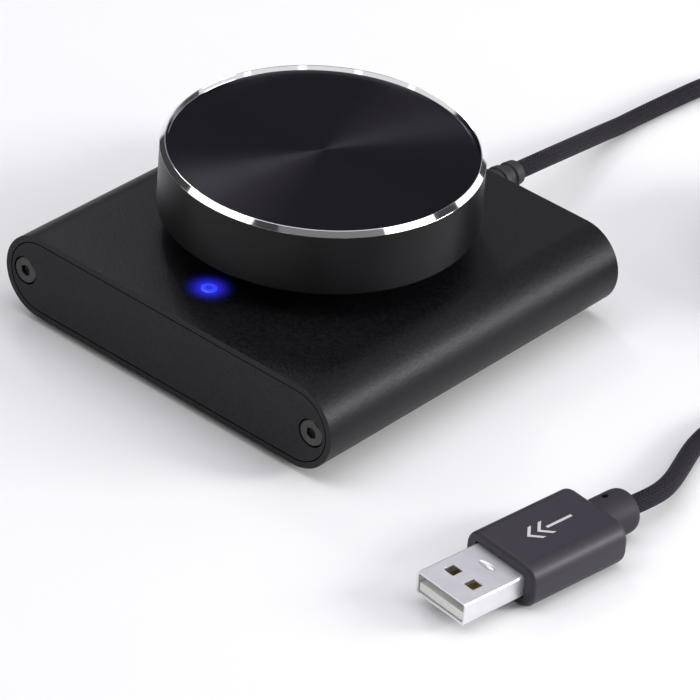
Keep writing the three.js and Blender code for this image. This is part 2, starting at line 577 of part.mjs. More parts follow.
// ---------------------------------------------------------------- lead outside the case
// A moulded strain relief along +Y: a collar each side of the plate, then a grooved taper.
function addGland() {
  const [neck, collar] = [GLAND_NECK_DIAMETER / 2, GLAND_COLLAR_DIAMETER / 2];
  const inner = -PLATE_THICKNESS - SEAT_GAP;
  const taperStart = SEAT_GAP + GLAND_COLLAR_THICKNESS;
  const profile = [
    [0, inner - GLAND_COLLAR_THICKNESS], [collar, inner - GLAND_COLLAR_THICKNESS], [collar, inner],
    [neck, inner], [neck, SEAT_GAP], [collar, SEAT_GAP], [collar, taperStart],
  ];
  const taperLength = GLAND_TAIL_LENGTH;
  const radiusAt = (t) => (GLAND_ROOT_DIAMETER + (GLAND_TIP_DIAMETER - GLAND_ROOT_DIAMETER) * t) / 2;
  profile.push([radiusAt(0), taperStart]);
  for (let i = 1; i <= GLAND_GROOVES; i += 1) {
    const t = i / (GLAND_GROOVES + 1);
    const halfGroove = 0.25 / (GLAND_GROOVES + 1);
    const [from, to] = [t - halfGroove, t + halfGroove];
    for (const [place, depth] of [[from, 0], [from, GROOVE_DEPTH], [to, GROOVE_DEPTH], [to, 0]]) {
      profile.push([radiusAt(place) - depth, taperStart + place * taperLength]);
    }
  }
  const taperEnd = taperStart + taperLength;
  profile.push([radiusAt(1), taperEnd - 0.2], [radiusAt(1) - 0.3, taperEnd], [0, taperEnd]);
  const gland = add('cord_gland', turnedAlongY(profile, 24), blackRubber);
  gland.position.set(CORD_EXIT_X, halfLength, midHeight);
}

function addCord() {
  add('cord_from_case', tube(CORD_FROM_CASE, CORD_DIAMETER, 2.2 * CORD_DIAMETER), cordBraid);
  add('cord_to_plug', tube(CORD_TO_PLUG, CORD_DIAMETER, 2.2 * CORD_DIAMETER), cordBraid);

  const halfBand = (COIL_WIDE * TURN_PITCH) / 2;
  const coilBottom = TIE_THICKNESS + TURNED_GAP;
  const coilTop = coilBottom + COIL_HIGH * TURN_PITCH;
  const span = [2 * (COIL_RADIUS + halfBand), 2 * (COIL_RADIUS - halfBand)];
  const coil = add('cord_coil', ring(...span, [coilBottom, coilTop], 48), cordBraid);
  coil.position.set(COIL_CENTRE.x, COIL_CENTRE.y, 0);

  const [near, far] = [COIL_RADIUS - halfBand - TIE_SLACK, COIL_RADIUS + halfBand + TURNED_GAP];
  TIE_ANGLES.forEach((angle, i) => {
    const band = block([near - TIE_THICKNESS, far + TIE_THICKNESS], [-TIE_WIDTH / 2, TIE_WIDTH / 2],
      [0, coilTop + TURNED_GAP + TIE_THICKNESS]);
    const inside = block([near, far], [-TIE_WIDTH, TIE_WIDTH], [TIE_THICKNESS, coilTop + TURNED_GAP]);
    const tie = add(`coil_tie_${i + 1}`, joinAndCut([band], [inside]), blackRubber);
    tie.position.set(COIL_CENTRE.x, COIL_CENTRE.y, 0);
    tie.rotation.z = THREE.MathUtils.degToRad(angle);
  });
}

// ---------------------------------------------------------------- plug
// Built with its tip towards -Y and the grip's front at y = 0, then turned and moved into place.
function addPlug() {
  const plug = new THREE.Group();
  plug.position.set(PLUG_FRONT.x, PLUG_FRONT.y, 0);
  plug.rotation.z = THREE.MathUtils.degToRad(PLUG_TURN);
  model.add(plug);

  const [halfWidth, halfHeight] = [PLUG_METAL_WIDTH / 2, PLUG_METAL_HEIGHT / 2];
  const inner = [halfWidth - PLUG_METAL_WALL, halfHeight - PLUG_METAL_WALL];
  const across = (half) => [-half, half];
  const upright = (half) => [gripMiddle - half, gripMiddle + half];
  const metalSpan = [-PLUG_METAL_LENGTH, PLUG_METAL_BURIED];
  const windowY = -PLUG_METAL_LENGTH + PLUG_WINDOW_FROM_TIP;
  const hollow = block(across(inner[0]), [metalSpan[0] - 1, metalSpan[1] + 1], upright(inner[1]));
  const windows = sides.map((side) => {
    const middle = (side * PLUG_WINDOW_SPACING) / 2;
    return block([middle - PLUG_WINDOW / 2, middle + PLUG_WINDOW / 2],
      [windowY - PLUG_WINDOW / 2, windowY + PLUG_WINDOW / 2], upright(halfHeight + 1));
  });
  const shell = block(across(halfWidth), metalSpan, upright(halfHeight));
  add('plug_shell', joinAndCut([shell], [hollow, ...windows]), nickel, plug);

  const floor = gripMiddle - inner[1] + SEAT_GAP;
  const tongueTop = floor + TONGUE_THICKNESS;
  const tongueX = across(inner[0] - SEAT_GAP);
  const tongue = block(tongueX, [metalSpan[0] + TURNED_GAP, metalSpan[1] - SEAT_GAP], [floor, tongueTop]);
  const rootSpan = [-TONGUE_ROOT, metalSpan[1] - SEAT_GAP];
  const root = block(tongueX, rootSpan, [floor, gripMiddle + inner[1] - SEAT_GAP]);
  add('plug_insulator', joinAndCut([tongue, root]), whitePlastic, plug);
  CONTACT_PLACES.forEach((x, i) => {
    const contactSpan = [-TONGUE_ROOT - TURNED_GAP - CONTACT_LENGTH, -TONGUE_ROOT - TURNED_GAP];
    const base = tongueTop + SEAT_GAP / 2;
    const contactX = [x - CONTACT_WIDTH / 2, x + CONTACT_WIDTH / 2];
    const contact = block(contactX, contactSpan, [base, base + CONTACT_THICKNESS]);
    add(`plug_contact_${i + 1}`, outward(contact), brassPlate, plug);
  });

  const outline = roundedRectangle(GRIP_WIDTH, GRIP_HEIGHT, GRIP_CORNER);
  const grip = alongY(outline, [0, GRIP_LENGTH], gripMiddle, 6);
  const socket = block(across(halfWidth + TURNED_GAP), [-1, PLUG_METAL_BURIED + TURNED_GAP],
    upright(halfHeight + TURNED_GAP));
  add('plug_grip', joinAndCut([grip], [socket]), blackPlastic, plug);

  const [full, tip] = [BOOT_DIAMETER / 2, BOOT_TIP_DIAMETER / 2];
  const boot = turnedAlongY([[0, 0], [full, 0], [full, BOOT_LENGTH - BOOT_ROUND],
    [full - 0.3 * (full - tip), BOOT_LENGTH - 0.3 * BOOT_ROUND], [tip, BOOT_LENGTH], [0, BOOT_LENGTH]], 24);
  add('plug_boot', boot, blackRubber, plug).position.set(0, GRIP_LENGTH + TURNED_GAP, gripMiddle);
}

addCase();
addEncoder();
addKnob();
addBoard();
addLight();
addLeadInside();
addGland();
addCord();
addPlug();

export default model;
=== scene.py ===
# %% [markdown]
# # A desktop volume control, finished and lit
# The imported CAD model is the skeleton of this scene: it says where every piece is, and nothing here
# may move it. This script puts a finished mesh or a finish on each piece. Everything is in metres,
# with +Z up, and the case's light and front screws face -Y.

import math

import bmesh
import bpy
from mathutils import Matrix, Vector


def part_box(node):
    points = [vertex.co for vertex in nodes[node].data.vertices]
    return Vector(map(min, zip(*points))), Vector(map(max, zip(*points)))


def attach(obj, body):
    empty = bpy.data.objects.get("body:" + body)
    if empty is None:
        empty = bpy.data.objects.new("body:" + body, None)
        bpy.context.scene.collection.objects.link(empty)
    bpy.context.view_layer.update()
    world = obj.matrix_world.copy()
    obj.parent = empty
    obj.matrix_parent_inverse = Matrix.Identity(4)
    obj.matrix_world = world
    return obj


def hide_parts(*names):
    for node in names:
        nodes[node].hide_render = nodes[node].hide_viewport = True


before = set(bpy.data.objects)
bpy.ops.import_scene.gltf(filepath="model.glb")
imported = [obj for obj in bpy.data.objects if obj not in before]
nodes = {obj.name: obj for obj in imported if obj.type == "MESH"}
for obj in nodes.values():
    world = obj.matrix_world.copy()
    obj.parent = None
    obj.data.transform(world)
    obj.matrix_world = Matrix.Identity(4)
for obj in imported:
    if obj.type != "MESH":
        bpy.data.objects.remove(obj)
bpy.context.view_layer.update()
scene = bpy.context.scene
MM = 0.001

# %% [markdown]
# ## The camera
# The control is small and is looked at from a little way off with a long lens, so its sides stay
# nearly parallel. A camera is easiest to reason about as a point it aims at, a distance, and three
# angles: how far round, how far up, and how far the horizon is tilted.

# %% Camera
CAMERA_AIM = Vector((0.01245, -0.00289, -0.00076))
CAMERA_DISTANCE = 0.82
CAMERA_AZIMUTH = math.radians(38.975)
CAMERA_ELEVATION = math.radians(33.698)
CAMERA_ROLL = math.radians(4.82)
CAMERA_LENS = 229.33


def add_camera():
    lens = bpy.data.cameras.new("camera")
    lens.lens = CAMERA_LENS
    lens.clip_start = 0.01
    lens.clip_end = 20
    camera = bpy.data.objects.new("camera", lens)
    turn = (
        Matrix.Rotation(CAMERA_AZIMUTH, 4, "Z")
        @ Matrix.Rotation(math.pi / 2 - CAMERA_ELEVATION, 4, "X")
        @ Matrix.Rotation(CAMERA_ROLL, 4, "Z")
    )
    back = turn.col[2].to_3d()
    camera.matrix_world = Matrix.Translation(CAMERA_AIM + CAMERA_DISTANCE * back) @ turn
    scene.collection.objects.link(camera)
    scene.camera = camera
    return camera


camera = add_camera()
scene.view_settings.view_transform = "Standard"
print("camera at", [round(c, 3) for c in camera.matrix_world.translation])

# %% [markdown]
# ## Shader arithmetic
# A finish is a pattern of numbers worked out at each point of the surface. Wiring Math nodes by hand
# hides what the pattern is, so `Value` wraps a socket and overloads the operators: an expression
# such as `1 - mask * 0.5` adds the nodes for it.


# %% Values
class Value:
    """A socket of a finish, with operators that add Math nodes."""

    def __init__(self, finish, socket):
        self.finish = finish
        self.socket = socket

    def maths(self, operation, *values):
        inputs = dict(enumerate(values))
        return self.finish.node("ShaderNodeMath", {"operation": operation}, inputs)

    def __add__(self, other):
        return self.maths("ADD", self, other)

    def __radd__(self, other):
        return self.maths("ADD", other, self)

    def __sub__(self, other):
        return self.maths("SUBTRACT", self, other)

    def __rsub__(self, other):
        return self.maths("SUBTRACT", other, self)

    def __mul__(self, other):
        return self.maths("MULTIPLY", self, other)

    def __rmul__(self, other):
        return self.maths("MULTIPLY", other, self)

    def __pow__(self, other):
        return self.maths("POWER", self, other)

    def sine(self):
        return self.maths("SINE", self)

    def size(self):
        return self.maths("ABSOLUTE", self)

    def floor(self):
        return self.maths("FLOOR", self)

    def part(self):
        return self.maths("FRACT", self)

    def step(self, low, high):
        """0 below low, 1 above high, and a smooth rise between them."""
        settings = {"interpolation_type": "SMOOTHSTEP"}
        inputs = {"Value": self, "From Min": low, "From Max": high}
        return self.finish.node("ShaderNodeMapRange", settings, inputs)


# %% [markdown]
# Colours and vectors need other nodes, because a Math node turns a colour grey, so `Finish.node`
# makes any node from its settings and its inputs. The methods after it are the patterns that every
# finish here is built from: places, noise, a mix of two colours and a bump.


# %% Finishes
class Finish:
    """A material under construction."""

    def __init__(self, name):
        self.material = bpy.data.materials.new(name)
        self.material.use_nodes = True
        self.tree = self.material.node_tree
        self.tree.nodes.clear()

    def node(self, kind, settings=None, inputs=None, output=0):
        made = self.tree.nodes.new(kind)
        for setting, value in (settings or {}).items():
            setattr(made, setting, value)
        for socket, value in (inputs or {}).items():
            if isinstance(value, Value):
                self.tree.links.new(value.socket, made.inputs[socket])
            else:
                made.inputs[socket].default_value = value
        return Value(self, made.outputs[output])

    def place(self):
        """Where the point is, in metres from the middle of the case on the desk."""
        return self.node("ShaderNodeTexCoord", output="Object")

    def axes(self, vector):
        parts = self.node("ShaderNodeSeparateXYZ", inputs={0: vector})
        return [Value(self, socket) for socket in parts.socket.node.outputs]

    def stretched(self, vector, turn, scale):
        inputs = {"Vector": vector, "Rotation": (0, 0, turn), "Scale": scale}
        return self.node("ShaderNodeMapping", inputs=inputs)

    def noise(self, size, detail=2, vector=None):
        """A cloudy pattern from 0 to 1 whose blotches are about that size in metres."""
        inputs = {"Vector": vector or self.place(), "Scale": 1 / size, "Detail": detail}
        return self.node("ShaderNodeTexNoise", inputs=inputs)

    def mix(self, factor, first, second):
        settings = {"data_type": "RGBA"}
        return self.node("ShaderNodeMix", settings, {0: factor, 6: first, 7: second}, output=2)

    def bump(self, height, distance, strength=1.0):
        inputs = {"Height": height, "Distance": distance, "Strength": strength}
        return self.node("ShaderNodeBump", inputs=inputs)

    def done(self, inputs):
        """The surface shader with these inputs; what isn't named keeps its default."""
        shader = self.node("ShaderNodeBsdfPrincipled", inputs=inputs)
        output = self.tree.nodes.new("ShaderNodeOutputMaterial")
        self.tree.links.new(shader.socket, output.inputs["Surface"])
        return self.material


def paint(red, green, blue):
    return (red, green, blue, 1.0)


def grey(level):
    return (level, level, level, 1.0)


# %% [markdown]
# ## Metal finishes
# The case is an aluminium extrusion, bead blasted and then anodised black: thousands of tiny dents
# scatter a highlight into grain, and the dye leaves the metal nearly black. Noise a little over half
# a millimetre across, with finer noise in it, gives that grain: bump for the dents, roughness for the
# sparkle. The status light's spill on the case is painted: blue emission in the case's own material
# makes the top glow close to the light, a painted glow that stands in for the light the lamp throws
# there.

# %% Case and end plates
LIGHT_PLACE = (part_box("light_pipe")[0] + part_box("light_pipe")[1]) / 2
CASE_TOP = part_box("case_extrusion")[1].z
# How far the painted blue glow on the case reaches from the status light.
PAINTED_GLOW_REACH = 5.8 * MM
DENT_SIZE, FINE_DENT_SIZE, PATCH_SIZE = 0.62 * MM, 0.2 * MM, 14 * MM
DENT_DEPTH = 0.06 * MM
GRAIN_CONTRAST = 2.2
TOP_SKIN, SKIN_FADE = 0.3 * MM, 0.2 * MM


def light_distance(x, y):
    """How far a point is from the status light's middle, seen from above."""
    across = x - LIGHT_PLACE.x
    along = y - LIGHT_PLACE.y
    return (across * across + along * along) ** 0.5


def blasted(finish, tint, roughness, sparkle):
    """The inputs of bead-blasted black anodising in a given tint."""
    dents = finish.noise(DENT_SIZE, detail=3)
    fine = finish.noise(FINE_DENT_SIZE, detail=1)
    patches = finish.noise(PATCH_SIZE)
    light = paint(*(GRAIN_CONTRAST * c for c in tint[:3]))
    grain = dents * 0.75 + fine * 0.25
    return {
        "Base Color": finish.mix(grain.step(0.3, 0.7), tint, light),
        "Roughness": grain * sparkle + patches * 0.04 + (roughness - sparkle / 2 - 0.02),
        "Normal": finish.bump(grain, DENT_DEPTH, 0.9),
        "Metallic": 0.2,
        "Specular IOR Level": 0.3,
    }


def anodised_case():
    finish = Finish("anodised_case")
    x, y, z = finish.axes(finish.place())
    # Painted glow: blue emission in the case's material near the status light, standing in for the
    # light it throws on the top.
    near = 1 - light_distance(x, y).step(0.0, PAINTED_GLOW_REACH)
    above_skin = z - (CASE_TOP - TOP_SKIN)
    painted_glow = near * near * above_skin.step(0.0, SKIN_FADE)
    inputs = blasted(finish, paint(0.003, 0.003, 0.0042), roughness=0.44, sparkle=0.26)
    inputs["Emission Color"] = finish.mix(painted_glow, grey(0.0), paint(0.03, 0.03, 0.95))
    inputs["Emission Strength"] = 1.0
    return finish.done(inputs)


def end_plate():
    finish = Finish("end_plate")
    return finish.done(blasted(finish, paint(0.006, 0.0062, 0.0085), roughness=0.58, sparkle=0.1))


CASE_FINISH = anodised_case()
PLATE_FINISH = end_plate()
print("case finishes:", CASE_FINISH.name, PLATE_FINISH.name)

# %% [markdown]
# The knob is turned from bar. A lathe leaves fine rings, and rings reflect light as a bright fan
# that sweeps round the disc. Two things make it: `Anisotropic`, which stretches each highlight
# across the rings, and a bump of rings about a sixth of a millimetre apart. The lip is cut last with
# a diamond tool, through the black and down to bright bare metal.


# %% Knob finishes
DISC_RINGS, DISC_BANDS, LIP_RINGS, SIDE_RINGS = 0.16 * MM, 1.6 * MM, 0.07 * MM, 0.12 * MM
SIDE_GRAIN = 0.2 * MM


def rings_round(finish, size):
    """Noise that only changes with the distance from the knob's axis: turning marks."""
    x, y, z = finish.axes(finish.place())
    radius = (x * x + y * y) ** 0.5
    line = finish.node("ShaderNodeCombineXYZ", inputs={"X": radius, "Y": z})
    return finish.noise(size, detail=3, vector=line)


def turned_disc():
    finish = Finish("turned_disc")
    marks = rings_round(finish, DISC_RINGS)
    broad = rings_round(finish, DISC_BANDS)
    return finish.done({
        "Base Color": finish.mix(marks, paint(0.029, 0.028, 0.0335), paint(0.036, 0.0348, 0.0415)),
        "Roughness": 0.19 + marks * 0.05 + broad * 0.04,
        "Metallic": 1.0,
        "Specular Tint": grey(0.5),
        "Anisotropic": 0.92,
        "Anisotropic Rotation": 0.25,
        "Normal": finish.bump(marks, 0.01 * MM, 0.35),
    })


def diamond_cut_lip():
    finish = Finish("diamond_cut_lip")
    marks = rings_round(finish, LIP_RINGS)
    return finish.done({
        "Base Color": finish.mix(marks, paint(0.86, 0.87, 0.89), grey(0.97)),
        "Roughness": 0.045 + marks * 0.05,
        "Metallic": 1.0,
        "Normal": finish.bump(marks, 0.004 * MM, 0.3),
    })


def satin_side():
    finish = Finish("satin_knob_side")
    marks = rings_round(finish, SIDE_RINGS)
    grain = finish.noise(SIDE_GRAIN)
    return finish.done({
        "Base Color": finish.mix(grain, paint(0.0026, 0.0024, 0.0032), paint(0.0045, 0.0042, 0.0055)),
        "Roughness": 0.33 + marks * 0.1,
        "Metallic": 0.1,
        "Specular IOR Level": 0.25,
        "Anisotropic": 0.5,
        "Anisotropic Rotation": 0.25,
        "Normal": finish.bump(marks + grain * 0.5, 0.008 * MM, 0.4),
    })


DISC_FINISH = turned_disc()
LIP_FINISH = diamond_cut_lip()
SIDE_FINISH = satin_side()
print("knob finishes:", DISC_FINISH.name, LIP_FINISH.name, SIDE_FINISH.name)

# %% [markdown]
# The small metal pieces differ in colour and in how worn they look, and not in kind, so one function
# makes them all: a metal with soft blotches in its roughness, fine scratches that run one way, and a
# slight change of colour.


# %% Plain metals
SCRATCH_TURN, SCRATCH_STRETCH, SCRATCH_SIZE = 0.6, (1, 14, 1), 0.9 * MM
BLOTCH_SIZE = 1.7 * MM


def plain_metal(name, dull, bright, roughness, scratches=0.05, metallic=1.0):
    finish = Finish(name)
    stretched = finish.stretched(finish.place(), SCRATCH_TURN, SCRATCH_STRETCH)
    lines = finish.noise(SCRATCH_SIZE, detail=4, vector=stretched)
    blotches = finish.noise(BLOTCH_SIZE)
    return finish.done({
        "Base Color": finish.mix(blotches, dull, bright),
        "Roughness": roughness + blotches * 0.08 + lines * scratches,
        "Metallic": metallic,
        "Normal": finish.bump(lines, 0.006 * MM, 0.25),
    })


BLACK_SCREW = plain_metal("black_screw", grey(0.045), grey(0.09), 0.3)
PLATED_STEEL = plain_metal("plated_steel", paint(0.55, 0.55, 0.56), paint(0.7, 0.7, 0.69), 0.24)
TINNED_PIN = plain_metal("tinned_pin", paint(0.62, 0.62, 0.63), paint(0.78, 0.78, 0.78), 0.32)
CONTACT_BRASS = plain_metal("contact_brass", paint(0.72, 0.5, 0.16), paint(0.92, 0.7, 0.3), 0.2)
CAPACITOR_CAN = plain_metal("capacitor_can", grey(0.66), grey(0.8), 0.22)
PLUG_METAL = plain_metal("plug_metal", paint(0.76, 0.76, 0.79), paint(0.86, 0.86, 0.88), 0.24,
                         scratches=0.12, metallic=0.8)
print("plain metals made")

# %% [markdown]
# ## Rubbers and plastics
# Moulded pieces take their skin from the mould: a fine even stipple, a little shine, and slow
# changes of shade where hands or dust have been. Rubber is duller and rougher than plastic.


# %% Moulded finishes
CLOUD_SIZE = 6 * MM


def moulded(name, dark, light, roughness, stipple, depth=0.02 * MM, shine=0.5):
    """A moulded skin: stipple is its grain's size, depth how deep that is, shine its gloss."""
    finish = Finish(name)
    skin = finish.noise(stipple, detail=2)
    cloud = finish.noise(CLOUD_SIZE)
    return finish.done({
        "Base Color": finish.mix(skin * 0.6 + cloud * 0.4, dark, light),
        "Roughness": roughness + skin * 0.12 + cloud * 0.06,
        "Specular IOR Level": shine,
        "Normal": finish.bump(skin, depth, 0.5),
    })


FOOT_RUBBER = moulded("foot_rubber", grey(0.012), grey(0.022), 0.72, 0.5 * MM)
LEAD_RUBBER = moulded("lead_rubber", paint(0.012, 0.012, 0.014), paint(0.024, 0.023, 0.027), 0.5,
                      0.3 * MM)
PLUG_RUBBER = moulded("plug_rubber", paint(0.016, 0.013, 0.02), paint(0.03, 0.025, 0.036), 0.5,
                      0.3 * MM, shine=0.34)
GRIP_FINISH = moulded("grip_rubber", paint(0.026, 0.0215, 0.032), paint(0.034, 0.029, 0.041), 0.34,
                      0.22 * MM, shine=0.34)
BLACK_PLASTIC = moulded("black_plastic", grey(0.014), grey(0.024), 0.5, 0.35 * MM)
WHITE_PLASTIC = moulded("white_plastic", paint(0.7, 0.69, 0.65), paint(0.8, 0.79, 0.76), 0.42, 0.5 * MM)
LEAD_JACKET = moulded("lead_jacket", grey(0.016), grey(0.026), 0.55, 0.4 * MM)
MARK_PAINT = moulded("mark_paint", paint(0.52, 0.5, 0.54), paint(0.62, 0.6, 0.64), 0.5,
                     0.2 * MM, depth=0.005 * MM)
print("moulded finishes made")

# %% [markdown]
# ## The board, the light and the strap
# The circuit board has copper tracks under green lacquer, so it shows faint raised lines. The light
# is a clear pipe over a blue lamp: its middle is dimmer than its rim, because the rim is where the
# pipe's cone sends the light out. The strap is a loop tape with a nap of tiny hooks.


# %% Board, light and strap finishes
TRACKS_ACROSS, TRACKS_ALONG = 2600, 2100
LENS_MIDDLE, LENS_RIM = 0.35 * MM, 1.0 * MM
NAP_SIZE, WEAVE_SIZE, NAP_DEPTH = 0.28 * MM, 1.1 * MM, 0.12 * MM


def circuit_board():
    finish = Finish("circuit_board")
    x, y = finish.axes(finish.place())[:2]
    waves = ((x * TRACKS_ACROSS).sine() * (y * TRACKS_ALONG).sine()).size()
    tracks = waves.step(0.02, 0.1)
    return finish.done({
        "Base Color": finish.mix(tracks, paint(0.02, 0.11, 0.05), paint(0.006, 0.045, 0.02)),
        "Roughness": 0.28 + tracks * 0.12,
        "Normal": finish.bump(1 - tracks, 0.03 * MM, 0.5),
    })


def blue_lens():
    finish = Finish("blue_lens")
    x, y = finish.axes(finish.place())[:2]
    rim = light_distance(x, y).step(LENS_MIDDLE, LENS_RIM)
    return finish.done({
        "Base Color": finish.mix(rim, paint(0.01, 0.02, 0.3), paint(0.02, 0.04, 0.6)),
        "Roughness": 0.16 + rim * 0.05,
        "Emission Color": finish.mix(rim, paint(0.02, 0.03, 0.55), paint(0.035, 0.06, 0.9)),
        "Emission Strength": 1.0,
    })


def tie_strap():
    finish = Finish("tie_strap")
    nap = finish.noise(NAP_SIZE, detail=4)
    weave = finish.noise(WEAVE_SIZE)
    return finish.done({
        "Base Color": finish.mix(nap, grey(0.008), grey(0.035)),
        "Roughness": 0.82 + weave * 0.12,
        "Normal": finish.bump(nap + weave * 0.5, NAP_DEPTH, 0.9),
    })


BOARD_FINISH = circuit_board()
LENS_FINISH = blue_lens()
STRAP_FINISH = tie_strap()
print("board, light and strap finishes made")

# %% [markdown]
# ## The braided sleeve
# The lead is covered by a braid of nylon strands that run round it both ways, over one and under
# one. Along the lead the UV map runs from end to end, and round it from seam to seam. Adding and
# subtracting the two gives each family of strands its own count; where the two counts add to an odd
# number, the rightward family is on top. The strands' height and their threads' twist make the bump,
# and the twist alone the roughness. Height and twist also paint shade into the colour: each strand is
# painted darker towards its edges, nearly black where it dips under the other family, and a painted
# highlight lies along each thread's crown. Noise for the fibres varies the colour at random.

# %% Braid finish
LEAD_DIAMETER = 3.6 * MM
STRANDS = 16
THREADS_A_STRAND = 5
STRAND_PITCH = LEAD_DIAMETER * math.pi / STRANDS
STRAND_SLANT = 0.8
BRAID_DEPTH = 0.22 * MM
FIBRE_SIZE = 0.5 * MM


def lead_braid(length):
    finish = Finish("lead_braid")
    sleeve = finish.node("ShaderNodeUVMap", {"uv_map": "UVMap"})
    along_it, round_it = finish.axes(sleeve)[:2]
    turns = round_it * STRANDS
    travel = along_it * (length / STRAND_PITCH * STRAND_SLANT)
    right, left = turns + travel, turns - travel
    on_top = ((right.floor() + left.floor()) * 0.5).part() * 2
    rightward = (right.part() * math.pi).sine()
    leftward = (left.part() * math.pi).sine()
    height = on_top * rightward + (1 - on_top) * leftward
    rightward_threads = (right * THREADS_A_STRAND).part()
    leftward_threads = (left * THREADS_A_STRAND).part()
    threads = on_top * rightward_threads + (1 - on_top) * leftward_threads
    twist = (threads * math.pi).sine()
    fibre = finish.noise(FIBRE_SIZE, detail=3)
    # Painted shade and highlight: the colour is dark in the strands' dips and light on the thread
    # crowns, with random fibre noise.
    painted_shade_and_fibre = (height * 0.65 + twist * 0.35) * (0.75 + fibre * 0.5)
    painted_dip_shade, thread = paint(0.0006, 0.0005, 0.0008), paint(0.04, 0.033, 0.048)
    return finish.done({
        "Base Color": finish.mix(painted_shade_and_fibre.step(0.2, 0.95), painted_dip_shade, thread),
        "Roughness": 0.5 + twist * 0.12,
        "Specular IOR Level": 0.12,
        "Normal": finish.bump(height + twist * 0.25, BRAID_DEPTH, 1.0),
    })


print(f"each strand of the braid is {STRAND_PITCH / MM:.2f} mm wide")

# %% [markdown]
# ## Meshes from bmesh operators
# Each new piece starts from a primitive or a short profile, and operators do the shaping. Three
# starts are enough here: a slab, a round bar, and a lathe that spins a profile. The lathe leaves double
# points at its seam and poles, so they are merged before the faces are turned outwards.

# %% Starting shapes
WELD = 1e-7


def slab(x, y, z):
    """A block between two values on each axis."""
    shape = bmesh.new()
    spans = [x, y, z]
    size = [high - low for low, high in spans]
    middle = Matrix.Translation([(low + high) / 2 for low, high in spans])
    bmesh.ops.create_cube(shape, size=1, matrix=middle @ Matrix.Diagonal((*size, 1)))
    return shape


def rod(diameter, low, high, turn, sides=48):
    """A round bar along Z from low to high, then turned."""
    shape = bmesh.new()
    radius = diameter / 2
    place = turn @ Matrix.Translation((0, 0, (low + high) / 2))
    sizes = {"radius1": radius, "radius2": radius, "depth": high - low}
    bmesh.ops.create_cone(shape, cap_ends=True, segments=sides, matrix=place, **sizes)
    return shape


def lathe(profile, steps):
    """Spins (radius, height) points round Z."""
    shape = bmesh.new()
    points = [shape.verts.new((radius, 0, height)) for radius, height in profile]
    edges = [shape.edges.new(pair) for pair in zip(points, points[1:])]
    bmesh.ops.spin(shape, geom=points + edges, axis=(0, 0, 1), cent=(0, 0, 0),
                   angle=2 * math.pi, steps=steps, use_merge=True)
    bmesh.ops.remove_doubles(shape, verts=shape.verts, dist=WELD)
    bmesh.ops.recalc_face_normals(shape, faces=shape.faces)
    return shape


# %% [markdown]
# A real edge is never perfectly sharp, and the thin bright line on a softened one is what makes a
# small object look real. So nearly every piece passes through `soften`. Holes are cut with an exact
# boolean, and shapes that only touch are joined in one mesh.


# %% Softening, moving, cutting and joining
def soften(shape, width, segments=2, angle=30.0, chosen=None):
    """Rounds the edges that turn by more than angle, or the chosen ones among them."""
    limit = math.radians(angle)
    sharp = [e for e in shape.edges if e.is_manifold and e.calc_face_angle(0) > limit]
    sharp = [e for e in sharp if chosen is None or chosen(e)]
    bmesh.ops.bevel(shape, geom=sharp, offset=width, segments=segments, profile=0.5,
                    affect="EDGES", clamp_overlap=True, material=-1)
    return shape


def moved(shape, matrix):
    bmesh.ops.transform(shape, matrix=matrix, verts=shape.verts)
    return shape


def push(shape, extruded, way):
    """Moves what an extrude operator has just made."""
    fresh = [v for v in extruded["geom"] if isinstance(v, bmesh.types.BMVert)]
    bmesh.ops.translate(shape, vec=way, verts=fresh)


def joined(shape, *extras):
    """The shape with the extra shapes in the same mesh."""
    for extra in extras:
        mesh = bpy.data.meshes.new("extra")
        extra.to_mesh(mesh)
        extra.free()
        shape.from_mesh(mesh)
        bpy.data.meshes.remove(mesh)
    return shape


def loose_object(name, shape):
    mesh = bpy.data.meshes.new(name)
    shape.to_mesh(mesh)
    shape.free()
    made = bpy.data.objects.new(name, mesh)
    scene.collection.objects.link(made)
    return made


def cut(shape, *cutters):
    """Takes the cutters' volume out of the shape."""
    body = loose_object("being_cut", shape)
    tools = [loose_object("cutter", cutter) for cutter in cutters]
    for tool in tools:
        modifier = body.modifiers.new("cut", "BOOLEAN")
        modifier.operation = "DIFFERENCE"
        modifier.solver = "EXACT"
        modifier.object = tool
    result = bmesh.new()
    evaluated = body.evaluated_get(bpy.context.evaluated_depsgraph_get())
    result.from_mesh(evaluated.to_mesh())
    for done in [body, *tools]:
        bpy.data.objects.remove(done)
    bmesh.ops.remove_doubles(result, verts=result.verts, dist=WELD)
    return result


# %% [markdown]
# Some CAD shapes only lack softened edges, so `refined` copies one and makes its flat faces whole.
# `piece` is the last step for every shape: it smooths the shading up to its sharp edges, puts the
# piece on the body it moves with, and takes the CAD nodes it stands for out of sight.

# %% From shape to piece
CAD_WELD = 1e-6
FLAT_WITHIN = math.radians(0.5)


def refined(node):
    """A copy of a CAD node's mesh, merged and with its flat faces whole again."""
    shape = bmesh.new()
    shape.from_mesh(nodes[node].data)
    bmesh.ops.remove_doubles(shape, verts=shape.verts, dist=CAD_WELD)
    bmesh.ops.dissolve_limit(shape, angle_limit=FLAT_WITHIN, verts=shape.verts, edges=shape.edges)
    return shape


def piece(name, shape, finish, stands_for=None, body="case", smooth=35.0):
    """The finished object for a shape, riding on its body in place of its CAD nodes."""
    made = loose_object(name, shape)
    for each in finish if isinstance(finish, list) else [finish]:
        made.data.materials.append(each)
    made.data.shade_smooth()
    made.data.set_sharp_from_angle(angle=math.radians(smooth))
    weights = made.modifiers.new("even_normals", "WEIGHTED_NORMAL")
    weights.keep_sharp = True
    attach(made, body)
    if stands_for:
        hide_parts(*([stands_for] if isinstance(stands_for, str) else stands_for))
    print(f"{name}: {len(made.data.polygons)} faces")
    return made


